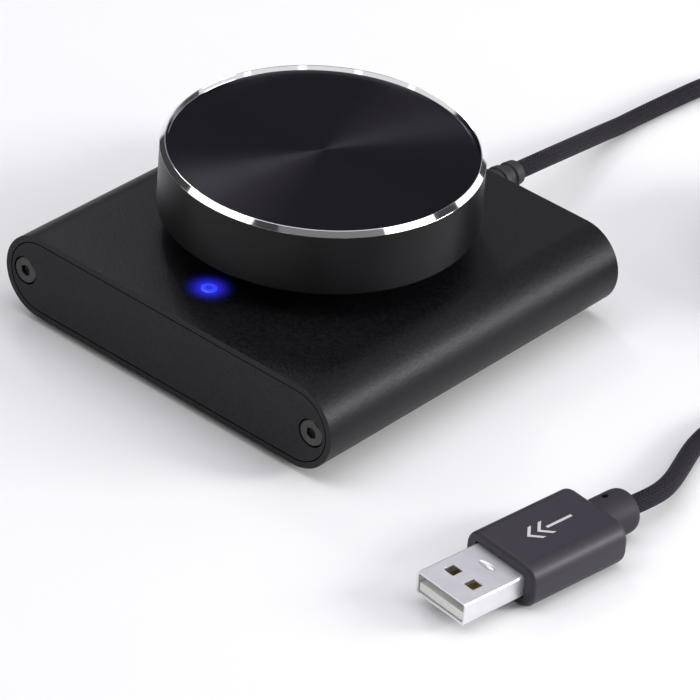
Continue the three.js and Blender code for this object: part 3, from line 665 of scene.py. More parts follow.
# %% [markdown]
# ## The lead's route
# The lead is a real 1.5 m of cord, so its shape is a route of that length. It leaves the gland
# straight, sinks to the desk in an easy curve, and its spare length is wound into a round coil beside
# the case, three turns wide. It then comes back to the plug. A coil is a loop in code: each turn has
# a place across the coil and a level, and near its end it shifts to the next turn's place. The top
# levels shift first, so a turn never passes through the one that is arriving.

# %% Route of the lead
ROUTE_FROM_CASE = [
    (3.2, 54.4, 9.9), (3.25, 58.8, 9.6), (3.0, 63.5, 9.0), (2.3, 69, 7.9), (1.3, 75, 6.5),
    (0.2, 81, 5.0), (-0.8, 87, 3.6), (-1.4, 93, 2.5), (-1.7, 99, 1.95), (-1.5, 105, 1.8),
    (-1.1, 111, 1.8), (-0.6, 117, 1.8), (0.4, 123, 1.8), (3.1, 128.7, 1.8), (7.8, 132.7, 1.8),
    (14, 134.6, 1.8), (20.8, 134.2, 1.8), (27.4, 131.7, 1.8), (33.5, 128.7, 1.8), (39.3, 125.5, 1.8),
    (45.2, 122.4, 1.9), (51, 119.9, 2.2), (56.9, 118.1, 2.6),
]
ROUTE_TO_PLUG = [
    (89.1, 76.2, 12.6), (88.6, 70, 10.6), (87.6, 64, 8.0), (86.1, 58, 5.4), (84.2, 52, 3.3),
    (82.0, 46, 2.2), (79.6, 40, 1.8), (77.7, 34, 1.8), (76.6, 28, 1.8), (76.5, 22, 1.8),
    (77.6, 16, 1.85), (79.8, 10, 2.3), (82, 4.4, 3.1), (83.3, -0.6, 3.8), (83.4, -5.4, 4.25),
    (82.8, -9.8, 4.4),
]
COIL_CENTRE = Vector((65, 91, 0)) * MM
COIL_RADIUS = 20.5 * MM
TURN_PITCH = 3.65 * MM
LOWEST_TURN = 2.925 * MM
COIL_START = 75.0
COIL_TURNS = 9 + COIL_START / 360
# Each turn's place across (1 is outermost), its level, and how late in the turn it shifts.
TURN_PLACES = [
    (1, 0, 6), (0, 0, 6), (-1, 0, 5), (-1, 1, 4), (0, 1, 4),
    (1, 1, 3), (1, 2, 2), (0, 2, 1), (0, 3, 0), (1, 3, 0),
]
SHIFT_FIRST, SHIFT_DELAY, SHIFT_SHARE = 0.2, 0.09, 0.24
POINTS_A_TURN = 30
FINE_STEPS = 8
ROUTE_STEP = 1.2 * MM


def wound_coil():
    """The coil's points, from where the lead arrives at its foot to where it leaves its top."""
    points = []
    count = round(COIL_TURNS * POINTS_A_TURN)
    for i in range(count + 1):
        turns = COIL_TURNS * i / count
        now = min(int(turns), len(TURN_PLACES) - 1)
        across, level, order = TURN_PLACES[now]
        to_across, to_level = TURN_PLACES[min(now + 1, len(TURN_PLACES) - 1)][:2]
        start = SHIFT_FIRST + SHIFT_DELAY * order
        share = min(max((turns - now - start) / SHIFT_SHARE, 0), 1)
        eased = (1 - math.cos(math.pi * share)) / 2
        radius = COIL_RADIUS + TURN_PITCH * (across + (to_across - across) * eased)
        height = LOWEST_TURN + TURN_PITCH * (level + (to_level - level) * eased)
        angle = math.radians(COIL_START - 360 * turns)
        offset = Vector((radius * math.cos(angle), radius * math.sin(angle), height))
        points.append(COIL_CENTRE + offset)
    return points


def even_route(points, step):
    """A smooth curve through the points, with its own points an even step apart."""
    fine = []
    for i in range(len(points) - 1):
        before, here = points[max(i - 1, 0)], points[i]
        there, after = points[i + 1], points[min(i + 2, len(points) - 1)]
        leave, arrive = (there - before) / 2, (after - here) / 2
        for k in range(FINE_STEPS):
            t = k / FINE_STEPS
            fine.append(
                (2 * t**3 - 3 * t**2 + 1) * here + (t**3 - 2 * t**2 + t) * leave
                + (3 * t**2 - 2 * t**3) * there + (t**3 - t**2) * arrive
            )
    fine.append(points[-1])
    gone = [0.0]
    for one, two in zip(fine, fine[1:]):
        gone.append(gone[-1] + (two - one).length)
    count = round(gone[-1] / step)
    route, at = [], 0
    for i in range(count + 1):
        want = gone[-1] * i / count
        while at < len(fine) - 2 and gone[at + 1] < want:
            at += 1
        share = (want - gone[at]) / (gone[at + 1] - gone[at])
        route.append(fine[at].lerp(fine[at + 1], share))
    return route, gone[-1]


from_case = [Vector(p) * MM for p in ROUTE_FROM_CASE]
to_plug = [Vector(p) * MM for p in ROUTE_TO_PLUG]
lead_route, LEAD_LENGTH = even_route(from_case + wound_coil() + to_plug, ROUTE_STEP)
print(f"the lead is {LEAD_LENGTH:.3f} m long, over {len(lead_route)} points")

# %% [markdown]
# A curve with a round bevel is the natural tube: it keeps its sleeve from twisting, and turning it
# into a mesh gives it the UV map that the braid follows.


# %% The braided lead
def braided_tube(name, route, diameter):
    line = bpy.data.curves.new(name, "CURVE")
    line.dimensions = "3D"
    line.twist_mode = "MINIMUM"
    line.bevel_depth = diameter / 2
    line.bevel_resolution = 4
    line.use_fill_caps = True
    spline = line.splines.new("POLY")
    spline.points.add(len(route) - 1)
    for point, place in zip(spline.points, route):
        point.co = (*place, 1)
    drawn = bpy.data.objects.new(name, line)
    scene.collection.objects.link(drawn)
    evaluated = drawn.evaluated_get(bpy.context.evaluated_depsgraph_get())
    mesh = bpy.data.meshes.new_from_object(evaluated)
    mesh.materials.clear()
    bpy.data.objects.remove(drawn)
    tube = bmesh.new()
    tube.from_mesh(mesh)
    bmesh.ops.remove_doubles(tube, verts=tube.verts, dist=WELD)
    bmesh.ops.recalc_face_normals(tube, faces=tube.faces)
    return tube


lead = piece(
    "braided_lead", braided_tube("braided_lead", lead_route, LEAD_DIAMETER), lead_braid(LEAD_LENGTH),
    ["cord_from_case", "cord_coil", "cord_to_plug"], smooth=60,
)
print("UV maps:", [layer.name for layer in lead.data.uv_layers])

# %% [markdown]
# ## The case
# The extrusion, its two end plates and the screws have the right shape in the CAD model. What they
# lack is the small radius that a real edge has after tumbling and blasting, so each is a refined copy
# with its edges softened. The groove round a plate and the ring of metal at the extrusion's end then
# show as the two thin light lines they are.

# %% Case, plates and screws
CASE_EDGE, PLATE_EDGE, SCREW_EDGE = 0.16 * MM, 0.2 * MM, 0.14 * MM

case = soften(refined("case_extrusion"), CASE_EDGE)
piece("case", case, CASE_FINISH, "case_extrusion")
for end in ("front", "rear"):
    plate = soften(refined(f"{end}_plate"), PLATE_EDGE)
    piece(f"{end}_end_plate", plate, PLATE_FINISH, f"{end}_plate")
    for side in ("left", "right"):
        screw = soften(refined(f"{end}_screw_{side}"), SCREW_EDGE, angle=50)
        piece(f"{end}_{side}_socket_screw", screw, BLACK_SCREW, f"{end}_screw_{side}")

# %% [markdown]
# The feet are soft rubber discs. A disc pressed on a desk bulges a little and has a shallow hollow
# underneath, which is quick to turn on a lathe.

# %% Feet
FOOT_HOLLOW, FOOT_EDGE = 0.3 * MM, 0.12 * MM


def foot(node):
    low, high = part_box(node)
    radius, height = (high.x - low.x) / 2, high.z - low.z
    profile = [
        (0, FOOT_HOLLOW), (radius * 0.55, FOOT_HOLLOW), (radius * 0.7, 0), (radius * 0.9, 0),
        (radius, height * 0.3), (radius, height * 0.7), (radius * 0.97, height), (0, height),
    ]
    middle = Vector(((low.x + high.x) / 2, (low.y + high.y) / 2, 0))
    disc = soften(lathe(profile, steps=48), FOOT_EDGE, angle=20)
    return moved(disc, Matrix.Translation(middle))


for number in range(1, 5):
    piece(f"rubber_foot_{number}", foot(f"foot_{number}"), FOOT_RUBBER, f"foot_{number}")

# %% [markdown]
# ## The status light
# The clear pipe stands a hair above the case, with a rounded crown and a shallow dish in it. Below
# the surface it widens to a collar that stops it falling out.

# %% Light pipe
PIPE_RADIUS, PIPE_EDGE = 1.5 * MM, 0.05 * MM
COLLAR_DEPTH = 1.3 * MM
CROWN_DROP = 0.12 * MM
DISH_DEPTH, DISH_STEP = 0.12 * MM, 0.1 * MM


def light_pipe():
    low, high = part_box("light_pipe")
    collar, radius = (high.x - low.x) / 2, PIPE_RADIUS
    crown, shoulder = high.z, CASE_TOP - COLLAR_DEPTH
    profile = [
        (0, low.z), (collar, low.z), (collar, shoulder), (radius, shoulder),
        (radius, crown - CROWN_DROP), (radius * 0.86, crown), (radius * 0.55, crown),
        (radius * 0.3, crown - DISH_STEP), (0, crown - DISH_DEPTH),
    ]
    pipe = soften(lathe(profile, steps=48), PIPE_EDGE, angle=20)
    return moved(pipe, Matrix.Translation((LIGHT_PLACE.x, LIGHT_PLACE.y, 0)))


piece("light_lens", light_pipe(), LENS_FINISH, "light_pipe")

# %% [markdown]
# ## The encoder's fixing
# Under the knob a nut and a washer clamp the encoder's threaded bushing to the case. They are copies
# of the CAD shapes with broken edges. What is inside the case keeps its CAD shape.

# %% Nut, washer and bushing
FIXING_EDGE = 0.1 * MM

for part in ("nut", "washer", "bushing"):
    fixing = soften(refined(f"encoder_{part}"), FIXING_EDGE)
    piece(f"fixing_{part}", fixing, PLATED_STEEL, f"encoder_{part}")

# %% [markdown]
# ## The knob
# One profile spun round the shaft makes the whole knob: the hub with its bore, the hollow underside,
# the wall, the bright lip, and the recessed disc with the little centre mark a lathe leaves. Two
# radial holes let the set screw in. The three finishes are told apart by where each face lies.

# %% Knob
KNOB_LOW, KNOB_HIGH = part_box("knob_shell")
KNOB_RADIUS = KNOB_HIGH.x
KNOB_TOP, KNOB_FOOT = KNOB_HIGH.z, KNOB_LOW.z
LIP_CHAMFER = 0.92 * MM
LIP_CREST = 0.12 * MM
LIP_LEAN = 0.35 * MM
DISC_HEIGHT = KNOB_TOP - 0.85 * MM
DISC_RADIUS = KNOB_RADIUS - LIP_CHAMFER - LIP_CREST - LIP_LEAN
WALL = 3.0 * MM
HUB_RADIUS, BORE_RADIUS = 7.0 * MM, 3.05 * MM
HUB_FOOT = KNOB_FOOT + 1.2 * MM
BORE_TOP = HUB_FOOT + 8.2 * MM
HOLLOW_TOP = DISC_HEIGHT - 3.2 * MM
SET_SCREW_HEIGHT = KNOB_FOOT + 4.2 * MM
THREAD_HOLE, ACCESS_HOLE, HOLE_MARGIN = 3.2 * MM, 3.6 * MM, 1 * MM
FOOT_CHAMFER = 0.4 * MM
CENTRE_MARK, CENTRE_MARK_DEPTH = 0.3 * MM, 0.1 * MM
KNOB_EDGE, GRUB_SCREW_EDGE = 0.05 * MM, 0.1 * MM
DISC_MARGIN, LIP_MARGIN = 0.2 * MM, 0.1 * MM


def knob():
    inner = KNOB_RADIUS - WALL
    profile = [
        (0, BORE_TOP), (BORE_RADIUS, BORE_TOP), (BORE_RADIUS, HUB_FOOT), (HUB_RADIUS, HUB_FOOT),
        (HUB_RADIUS, HOLLOW_TOP), (inner, HOLLOW_TOP), (inner, KNOB_FOOT),
        (KNOB_RADIUS - FOOT_CHAMFER, KNOB_FOOT), (KNOB_RADIUS, KNOB_FOOT + FOOT_CHAMFER),
        (KNOB_RADIUS, KNOB_TOP - LIP_CHAMFER), (KNOB_RADIUS - LIP_CHAMFER, KNOB_TOP),
        (KNOB_RADIUS - LIP_CHAMFER - LIP_CREST, KNOB_TOP), (DISC_RADIUS, DISC_HEIGHT),
        (CENTRE_MARK, DISC_HEIGHT), (0, DISC_HEIGHT - CENTRE_MARK_DEPTH),
    ]
    shape = soften(lathe(profile, steps=200), KNOB_EDGE, angle=25)
    along_y = Matrix.Translation((0, 0, SET_SCREW_HEIGHT)) @ Matrix.Rotation(-math.pi / 2, 4, "X")
    thread = rod(THREAD_HOLE, BORE_RADIUS / 2, HUB_RADIUS + HOLE_MARGIN, along_y)
    access = rod(ACCESS_HOLE, inner - HOLE_MARGIN, KNOB_RADIUS + HOLE_MARGIN, along_y)
    shape = cut(shape, thread, access)
    for face in shape.faces:
        middle = face.calc_center_median()
        radius = math.hypot(middle.x, middle.y)
        on_disc = radius < DISC_RADIUS and abs(middle.z - DISC_HEIGHT) < DISC_MARGIN
        in_lip = middle.z > KNOB_TOP - LIP_CHAMFER and radius > DISC_RADIUS - LIP_MARGIN
        face.material_index = 0 if on_disc else 1 if in_lip else 2
    return shape


knob_finishes = [DISC_FINISH, LIP_FINISH, SIDE_FINISH]
piece("turned_knob", knob(), knob_finishes, "knob_shell", "knob", smooth=25)
grub_screw = soften(refined("knob_set_screw"), GRUB_SCREW_EDGE, angle=50)
piece("grub_screw", grub_screw, BLACK_SCREW, "knob_set_screw", "knob")

# %% [markdown]
# ## The gland
# The strain relief is moulded rubber: a collar on each side of the plate, then a taper with grooves
# that let it bend with the lead. It is turned upright like every lathe piece and then laid along +Y.

# %% Gland
GLAND_LOW, GLAND_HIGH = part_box("cord_gland")
GLAND_PLACE = (GLAND_LOW + GLAND_HIGH) / 2
GLAND_PLACE.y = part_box("rear_plate")[1].y
GLAND_COLLAR, GLAND_NECK = (GLAND_HIGH.x - GLAND_LOW.x) / 2, 3.2 * MM
GLAND_ROOT, GLAND_TIP = 3.8 * MM, 2.5 * MM
PLATE_INNER, PLATE_OUTER, TAPER_START = -2.6 * MM, 0.1 * MM, 1.5 * MM
GLAND_OVERLAP, GLAND_TIP_ROUND, GLAND_EDGE = 0.4 * MM, 0.3 * MM, 0.15 * MM
GLAND_GROOVES = 3
# A groove's points: how far along the taper from its middle, and how deep in millimetres.
GROOVE = ((-0.07, 0), (-0.05, 0.5), (0.05, 0.5), (0.07, 0))


def lying_along_y(shape, place):
    return moved(shape, Matrix.Translation(place) @ Matrix.Rotation(-math.pi / 2, 4, "X"))


def gland():
    inner_end = GLAND_LOW.y - GLAND_PLACE.y
    start, end = TAPER_START, GLAND_HIGH.y - GLAND_PLACE.y + GLAND_OVERLAP
    profile = [
        (0, inner_end), (GLAND_COLLAR, inner_end), (GLAND_COLLAR, PLATE_INNER),
        (GLAND_NECK, PLATE_INNER), (GLAND_NECK, PLATE_OUTER), (GLAND_COLLAR, PLATE_OUTER),
        (GLAND_COLLAR, start), (GLAND_ROOT, start),
    ]
    for groove in range(1, GLAND_GROOVES + 1):
        share = groove / (GLAND_GROOVES + 1)
        for offset, depth in GROOVE:
            here = share + offset
            radius = GLAND_ROOT + (GLAND_TIP - GLAND_ROOT) * here - depth * MM
            profile.append((radius, start + (end - start) * here))
    profile += [(GLAND_TIP, end - GLAND_OVERLAP), (GLAND_TIP - GLAND_TIP_ROUND, end), (0, end)]
    return lying_along_y(soften(lathe(profile, steps=64), GLAND_EDGE), GLAND_PLACE)


piece("strain_relief", gland(), LEAD_RUBBER, "cord_gland")

# %% [markdown]
# ## The straps round the coil
# Two hook-and-loop straps hold the coil. Each is a band bent round the bundle: a rectangle whose
# corners are rounded by a vertex bevel, pushed out to the strap's width, then given its thickness.

# %% Straps
STRAP_WIDTH, STRAP_THICKNESS = 7 * MM, 0.8 * MM
STRAP_INSIDE = ((14.225 * MM, 26.275 * MM), (0.8 * MM, 16.0 * MM))
STRAP_ANGLES = (20, 200)
STRAP_CORNER, STRAP_EDGE = 3.4 * MM, 0.12 * MM
LAP_OUTSIDE, LAP_ABOVE, LAP_BELOW = 1.6 * STRAP_THICKNESS, 3.2 * MM, 3.4 * MM


def strap(angle):
    (near, far), (low, high) = STRAP_INSIDE
    band = bmesh.new()
    outline = ((near, low), (far, low), (far, high), (near, high))
    corners = [band.verts.new((x, -STRAP_WIDTH / 2, z)) for x, z in outline]
    for pair in zip(corners, corners[1:] + corners[:1]):
        band.edges.new(pair)
    bmesh.ops.bevel(band, geom=corners, offset=STRAP_CORNER, segments=8, profile=0.5,
                    affect="VERTICES", material=-1)
    push(band, bmesh.ops.extrude_edge_only(band, edges=band.edges), (0, STRAP_WIDTH, 0))
    bmesh.ops.recalc_face_normals(band, faces=band.faces)
    middle = Vector(((near + far) / 2, 0, (low + high) / 2))
    face = max(band.faces, key=lambda f: f.calc_center_median().x)
    inwards = face.normal.dot(face.calc_center_median() - middle) < 0
    wall = STRAP_THICKNESS if inwards else -STRAP_THICKNESS
    bmesh.ops.solidify(band, geom=band.faces, thickness=wall)
    bmesh.ops.recalc_face_normals(band, faces=band.faces)
    lap_x = (far + STRAP_THICKNESS, far + LAP_OUTSIDE)
    lap = slab(lap_x, (-STRAP_WIDTH / 2, STRAP_WIDTH / 2), (low + LAP_ABOVE, high - LAP_BELOW))
    soften(joined(band, lap), STRAP_EDGE, angle=50)
    place = Matrix.Translation(COIL_CENTRE) @ Matrix.Rotation(math.radians(angle), 4, "Z")
    return moved(band, place)


straps = [
    piece(f"coil_strap_{i + 1}", strap(angle), STRAP_FINISH, f"coil_tie_{i + 1}")
    for i, angle in enumerate(STRAP_ANGLES)
]

# %% [markdown]
# ## The plug
# The plug is modelled with its tip towards -Y and its grip's front at zero, then turned and moved to
# where it lies. The shell is a folded sheet of plated steel: a softened bar, hollowed, with two latch
# windows through its top and bottom, an oval dimple and the seam underneath.

# %% Plug shell
PLUG_SPOT, PLUG_TURN = Vector((79.2, -40.2, 0)) * MM, math.radians(-6.8)
PLUG_PLACE = Matrix.Translation(PLUG_SPOT) @ Matrix.Rotation(PLUG_TURN, 4, "Z")
PLUG_MIDDLE = 4.4 * MM
SHELL_HALF_WIDTH, SHELL_HALF_HEIGHT, SHELL_SHEET = 6 * MM, 2.25 * MM, 0.4 * MM
SHELL_TIP, SHELL_END = -13.6 * MM, 4.5 * MM
SHELL_CORNER, HOLLOW_CORNER, SHELL_EDGE = 0.55 * MM, 0.3 * MM, 0.05 * MM
WINDOW, WINDOW_PLACE, WINDOW_Y, WINDOW_CUT = 2.4 * MM, 2.5 * MM, -8.6 * MM, 3 * MM
DIMPLE_Y, DIMPLE_RISE, DIMPLE_RADII = -3.1 * MM, 0.1 * MM, (2.0, 0.85, 0.42)
SEAM_HALF_WIDTH, SEAM_DEPTH = 0.05 * MM, 0.12 * MM


def each_way(half, middle=0.0):
    return (middle - half, middle + half)


def long_edge(edge):
    """Whether an edge runs along the plug."""
    one, two = (vert.co for vert in edge.verts)
    return abs(one.y - two.y) > 0.9 * (one - two).length


def plug_shell():
    height = each_way(SHELL_HALF_HEIGHT, PLUG_MIDDLE)
    outer = slab(each_way(SHELL_HALF_WIDTH), (SHELL_TIP, SHELL_END), height)
    soften(outer, SHELL_CORNER, 4, chosen=long_edge)
    right_through = (SHELL_TIP - MM, SHELL_END + MM)
    inside = (SHELL_HALF_WIDTH - SHELL_SHEET, SHELL_HALF_HEIGHT - SHELL_SHEET)
    hollow = slab(each_way(inside[0]), right_through, each_way(inside[1], PLUG_MIDDLE))
    soften(hollow, HOLLOW_CORNER, 3, chosen=long_edge)
    cutters = [hollow]
    for side in (-1, 1):
        across = each_way(WINDOW / 2, side * WINDOW_PLACE)
        along = each_way(WINDOW / 2, WINDOW_Y)
        cutters.append(slab(across, along, each_way(WINDOW_CUT, PLUG_MIDDLE)))
    bottom, top = height
    dimple = bmesh.new()
    place = Matrix.Translation((0, DIMPLE_Y, top + DIMPLE_RISE)) @ Matrix.Diagonal((*DIMPLE_RADII, 1))
    bmesh.ops.create_uvsphere(dimple, u_segments=40, v_segments=20, radius=MM, matrix=place)
    seam = slab(each_way(SEAM_HALF_WIDTH), right_through, each_way(SEAM_DEPTH, bottom))
    shell = cut(outer, *cutters, dimple, seam)
    return moved(soften(shell, SHELL_EDGE, angle=40), PLUG_PLACE)


shell = piece("plug_metal_shell", plug_shell(), PLUG_METAL, "plug_shell")

# %% [markdown]
# The insulator and its four contacts are seen through the shell's mouth and windows. Their CAD shapes
# only need softened edges.

# %% Insulator and contacts
INSULATOR_EDGE, CONTACT_EDGE = 0.15 * MM, 0.08 * MM

tongue = soften(refined("plug_insulator"), INSULATOR_EDGE)
inside_plug = [piece("plug_tongue", tongue, WHITE_PLASTIC, "plug_insulator")]
for number in range(1, 5):
    node = f"plug_contact_{number}"
    contact = soften(refined(node), CONTACT_EDGE)
    inside_plug.append(piece(f"contact_{number}", contact, CONTACT_BRASS, node))

# %% [markdown]
# The grip is a moulded block with nearly half-round sides and a flat top. Its long edges are rounded
# first and its ends afterwards, as the mould's halves would be cut. The boot behind it is a short
# rounded plug of the same rubber, with the pip hole that the mould's core pin leaves.

# %% Grip and boot
GRIP_HALF_WIDTH, GRIP_HEIGHT, GRIP_LENGTH = 8.5 * MM, 8.8 * MM, 22.5 * MM
GRIP_SIDE_ROUND, GRIP_FRONT_ROUND, GRIP_REAR_ROUND = 3.5 * MM, 0.7 * MM, 1.0 * MM
SOCKET_GAP, SOCKET_END_GAP, SOCKET_CORNER = 0.25 * MM, 0.3 * MM, 0.5 * MM
BOOT_RADIUS, BOOT_TIP_RADIUS, BOOT_LENGTH = 4.2 * MM, 3.0 * MM, 7.9 * MM
BOOT_OVERLAP, BOOT_ROUND, ROUND_STEPS = 0.4 * MM, 1.9 * MM, 6
MOUTH_RADIUS, MOUTH_DEPTH = 2.1 * MM, 0.5 * MM
PIP_DIAMETER, PIP_DEPTH, PIP_PLACE, PIP_TILT = 1.4 * MM, 0.8 * MM, 3.0 * MM, math.radians(-14)


def grip():
    body = slab(each_way(GRIP_HALF_WIDTH), (0, GRIP_LENGTH), (0, GRIP_HEIGHT))
    soften(body, GRIP_SIDE_ROUND, 10, chosen=long_edge)
    soften(body, GRIP_FRONT_ROUND, 4, angle=60, chosen=lambda edge: edge.verts[0].co.y < MM)
    soften(body, GRIP_REAR_ROUND, 4, angle=60,
           chosen=lambda edge: edge.verts[0].co.y > GRIP_LENGTH - MM)
    across = each_way(SHELL_HALF_WIDTH + SOCKET_GAP)
    height = each_way(SHELL_HALF_HEIGHT + SOCKET_GAP, PLUG_MIDDLE)
    socket = slab(across, (-MM, SHELL_END + SOCKET_END_GAP), height)
    return moved(cut(body, soften(socket, SOCKET_CORNER, 3, chosen=long_edge)), PLUG_PLACE)


def boot():
    radius, tip, length = BOOT_RADIUS, BOOT_TIP_RADIUS, BOOT_LENGTH
    profile = [(0, -BOOT_OVERLAP), (radius, -BOOT_OVERLAP), (radius, length - BOOT_ROUND)]
    for step in range(1, ROUND_STEPS + 1):
        turn = math.radians(90 * step / ROUND_STEPS)
        along = length - BOOT_ROUND * (1 - math.sin(turn))
        profile.append((tip + (radius - tip) * math.cos(turn), along))
    floor_of_mouth = length - MOUTH_DEPTH
    profile += [(MOUTH_RADIUS, length), (MOUTH_RADIUS, floor_of_mouth), (0, floor_of_mouth)]
    body = lying_along_y(lathe(profile, steps=64), Vector((0, GRIP_LENGTH, PLUG_MIDDLE)))
    tilt = Matrix.Rotation(PIP_TILT, 4, "Y")
    pip = rod(PIP_DIAMETER, radius - PIP_DEPTH, radius + MM, tilt, sides=24)
    moved(pip, Matrix.Translation((0, GRIP_LENGTH + PIP_PLACE, PLUG_MIDDLE)))
    return moved(cut(body, pip), PLUG_PLACE)


plug_grip = piece("plug_grip_moulding", grip(), GRIP_FINISH, "plug_grip", smooth=40)
plug_boot = piece("plug_lead_boot", boot(), PLUG_RUBBER, "plug_boot", smooth=40)

# %% [markdown]
# A pale printed arrow on the grip shows which end goes in. A chevron is two edges pushed sideways
# into a band; the stem is a thin slab. The print is 0.03 mm thick, so it catches the light as ink
# does.

# %% Arrow on the grip
PRINT_THICKNESS = 0.03 * MM
ARROW_STROKE = 0.55 * MM
CHEVRON_POINTS, CHEVRON_REACH = (6.0 * MM, 8.4 * MM), 1.9 * MM
STEM_SPAN = (10.6 * MM, 16.5 * MM)


def chevron(point_y):
    mark, reach = bmesh.new(), CHEVRON_REACH
    places = [(-reach, point_y + reach), (0, point_y), (reach, point_y + reach)]
    line = [mark.verts.new((x, y, GRIP_HEIGHT)) for x, y in places]
    edges = [mark.edges.new(pair) for pair in zip(line, line[1:])]
    push(mark, bmesh.ops.extrude_edge_only(mark, edges=edges), (0, ARROW_STROKE * math.sqrt(2), 0))
    push(mark, bmesh.ops.extrude_face_region(mark, geom=mark.faces[:]), (0, 0, PRINT_THICKNESS))
    bmesh.ops.recalc_face_normals(mark, faces=mark.faces)
    return mark


def arrow():
    first, second = map(chevron, CHEVRON_POINTS)
    height = (GRIP_HEIGHT, GRIP_HEIGHT + PRINT_THICKNESS)
    stem = slab(each_way(ARROW_STROKE / 2), STEM_SPAN, height)
    return moved(joined(first, second, stem), PLUG_PLACE)


mark = piece("printed_arrow", arrow(), MARK_PAINT)

# %% The lead's ends
print(f"{lead.name} declared, from the case to its plug")

# %% [markdown]
# ## Finishes for what is inside
# The pieces inside the case keep their CAD meshes. Each still gets the finish of its real material,
# because the model may be opened or cut in section.

# %% Inside finishes
INSIDE = {
    BLACK_PLASTIC: ["encoder_body", "controller_chip", "voltage_regulator", "light_resistor"],
    WHITE_PLASTIC: ["encoder_rotor", "encoder_plunger", "board_header", "lead_connector", "status_led"],
    PLATED_STEEL: ["encoder_shaft", "switch_dome"],
    CONTACT_BRASS: ["detent_spring"],
    TINNED_PIN: [f"encoder_pin_{i}" for i in range(1, 6)],
    CAPACITOR_CAN: ["crystal", "capacitor_1", "capacitor_2"],
    BOARD_FINISH: ["main_board"],
    LEAD_JACKET: ["inner_lead"],
}
for finish, names in INSIDE.items():
    for name in names:
        nodes[name].data.materials.clear()
        nodes[name].data.materials.append(finish)
print(sum(len(names) for names in INSIDE.values()), "inside pieces finished")

# %% [markdown]
# ## Floor and light
# The floor is plain and nearly white, and reaches well past everything that stands on it. Slow, faint
# clouds in its colour and roughness keep it from looking like a void.

# %% Floor
FLOOR_HALF_WIDTH, FLOOR_CLOUDS = 4, 0.12


def floor_finish():
    finish = Finish("pale_floor")
    cloud = finish.noise(FLOOR_CLOUDS)
    return finish.done({
        "Base Color": finish.mix(cloud, grey(0.88), grey(0.9)),
        "Roughness": 0.75 + cloud * 0.05,
        "Specular IOR Level": 0.15,
    })


floor_shape = bmesh.new()
bmesh.ops.create_grid(floor_shape, x_segments=8, y_segments=8, size=FLOOR_HALF_WIDTH)
floor = loose_object("floor", floor_shape)
floor.data.materials.append(floor_finish())
print(f"the floor is {2 * FLOOR_HALF_WIDTH} m across")

# %% [markdown]
# A light can be hung by what it should do. The lip is a cone that mirrors a different part of the
# room at each angle round it, so its highlights are placed by working backwards: reflect the line of
# sight in the cone at the angle where the lip should shine, and hang a softbox there. Brightness is
# given as radiance, the same however big the light is, because that is what a mirror shows.

# %% Light helpers
LIP_LIGHT_DISTANCE = 1.1
KNOB_MIDDLE = Vector((0, 0, KNOB_TOP))
BACK = camera.matrix_world.col[2].to_3d()
TOWARD = Vector((BACK.x, BACK.y, 0)).normalized()
LEFTWARD = TOWARD.cross(Vector((0, 0, 1)))


def seen_in_lip(angle):
    """The direction the lip mirrors to the camera, at degrees round from its near side to the left."""
    turn = math.radians(angle)
    normal = (TOWARD * math.cos(turn) + LEFTWARD * math.sin(turn) + Vector((0, 0, 1))).normalized()
    return 2 * normal.dot(BACK) * normal - BACK


def hang_light(name, place, aim, size, radiance, tint=(1, 1, 1), side=None):
    """A rectangular light of an even brightness, facing aim, its width along side."""
    lamp = bpy.data.lights.new(name, "AREA")
    lamp.shape = "RECTANGLE"
    lamp.size, lamp.size_y = size
    lamp.color = tint
    lamp.energy = radiance * math.pi * size[0] * size[1]
    hung = bpy.data.objects.new(name, lamp)
    back = (place - aim).normalized()
    across = (side or Vector((0, 0, 1)).cross(back)).normalized()
    across = (across - across.dot(back) * back).normalized()
    up = back.cross(across)
    turn = Matrix((across, up, back)).transposed().to_4x4()
    hung.matrix_world = Matrix.Translation(place) @ turn
    scene.collection.objects.link(hung)
    return hung


def lip_light(name, start, end, breadth, radiance):
    """A softbox whose reflection covers the lip between two angles."""
    first, last = seen_in_lip(start), seen_in_lip(end)
    middle = (first + last).normalized()
    width = 2 * LIP_LIGHT_DISTANCE * math.tan(first.angle(last) / 2)
    place = KNOB_MIDDLE + middle * LIP_LIGHT_DISTANCE
    return hang_light(name, place, KNOB_MIDDLE, (width, breadth), radiance, side=last - first)


def direction(left, toward, up):
    """A direction as the camera sees it: to its left, towards it, and up."""
    return (LEFTWARD * left + TOWARD * toward + Vector((0, 0, up))).normalized()


def soft_light(name, where, distance, size, radiance, tint=(1, 1, 1)):
    """A light in a direction from the knob, with its width level."""
    return hang_light(name, KNOB_MIDDLE + where * distance, KNOB_MIDDLE, size, radiance, tint)


print("the lip's near side mirrors", [round(c, 2) for c in seen_in_lip(0)])

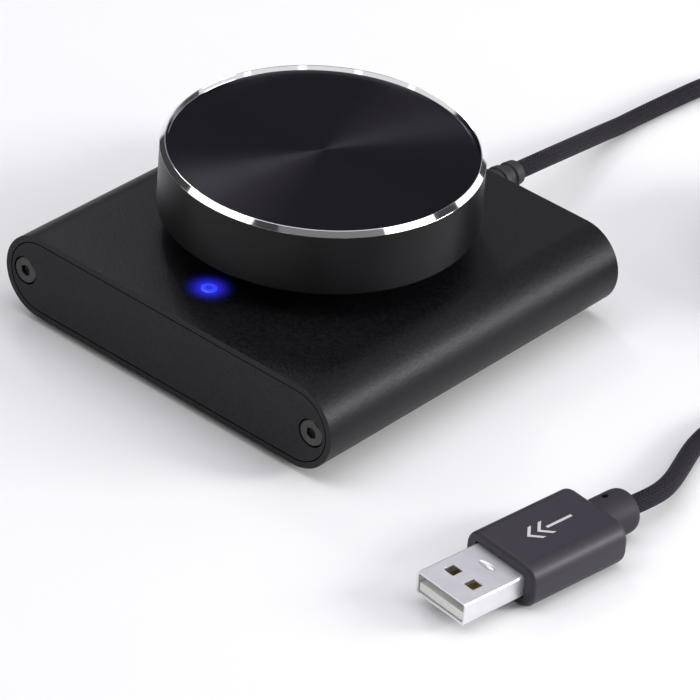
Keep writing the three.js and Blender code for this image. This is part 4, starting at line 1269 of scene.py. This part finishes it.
# %% [markdown]
# Four lights make the bright and grey stretches of the lip, and a big one overhead the even base. A
# card behind gives the flat tops a faint sheen, and five low ones in front give the far lip's inner
# slope and the upright sides something to mirror. The side card lies along the lip's mirror line but
# clear of it, so it lights the case's round side and leaves the lip alone. Two small lights draw the
# bright fan on the turned disc.

# %% Lights
# Each lip light: the two angles round the lip that it covers, its breadth and its radiance.
LIP_LIGHTS = {
    "left_softbox": (23.5, 53, 0.32, 2.2),
    "right_softbox": (-25, -46, 0.42, 2.4),
    "rear_softbox": (-58.5, -81, 0.26, 2.0),
    "front_card": (-24, 13.5, 0.3, 0.15),
}
HORIZON_TURNS, HORIZON_RISE = (-80, -40, 0, 40, 80), 0.2
COOL_WHITE, COOL_GREY, WARM_WHITE = (0.98, 0.98, 1.05), (0.94, 0.94, 1.1), (1.0, 0.86, 0.84)

for name, (start, end, breadth, radiance) in LIP_LIGHTS.items():
    lip_light(name, start, end, breadth, radiance)
soft_light("overhead", direction(0, 0.02, 1), distance=1.6, size=(2.2, 1.16), radiance=2.15,
           tint=COOL_WHITE)
soft_light("rear_card", direction(0, -0.84, 0.56), distance=1.8, size=(2.2, 1.1), radiance=0.38,
           tint=COOL_GREY)
lip_start, lip_end = LIP_LIGHTS["right_softbox"][:2]
along_lip = seen_in_lip(lip_end) - seen_in_lip(lip_start)
side_place = KNOB_MIDDLE + direction(-0.93, 0.06, 0.33) * LIP_LIGHT_DISTANCE
hang_light("side_card", side_place, KNOB_MIDDLE, size=(0.5, 0.26), radiance=19.0, side=along_lip)
for number, turn in enumerate(map(math.radians, HORIZON_TURNS), start=1):
    where = direction(math.sin(turn), math.cos(turn), HORIZON_RISE)
    soft_light(f"horizon_card_{number}", where, distance=1.5, size=(1.2, 0.56), radiance=0.72)
soft_light("disc_streak", direction(0.231, -0.719, 0.655), distance=1.2, size=(0.16, 0.16),
           radiance=14.0)
soft_light("disc_fan", direction(0.196, -0.636, 0.746), distance=1.2, size=(0.26, 0.14),
           radiance=4.0, tint=WARM_WHITE)

world = bpy.data.worlds.new("studio")
world.use_nodes = True
world.node_tree.nodes["Background"].inputs["Color"].default_value = grey(0.05)
world.node_tree.nodes["Background"].inputs["Strength"].default_value = 1.0
scene.world = world
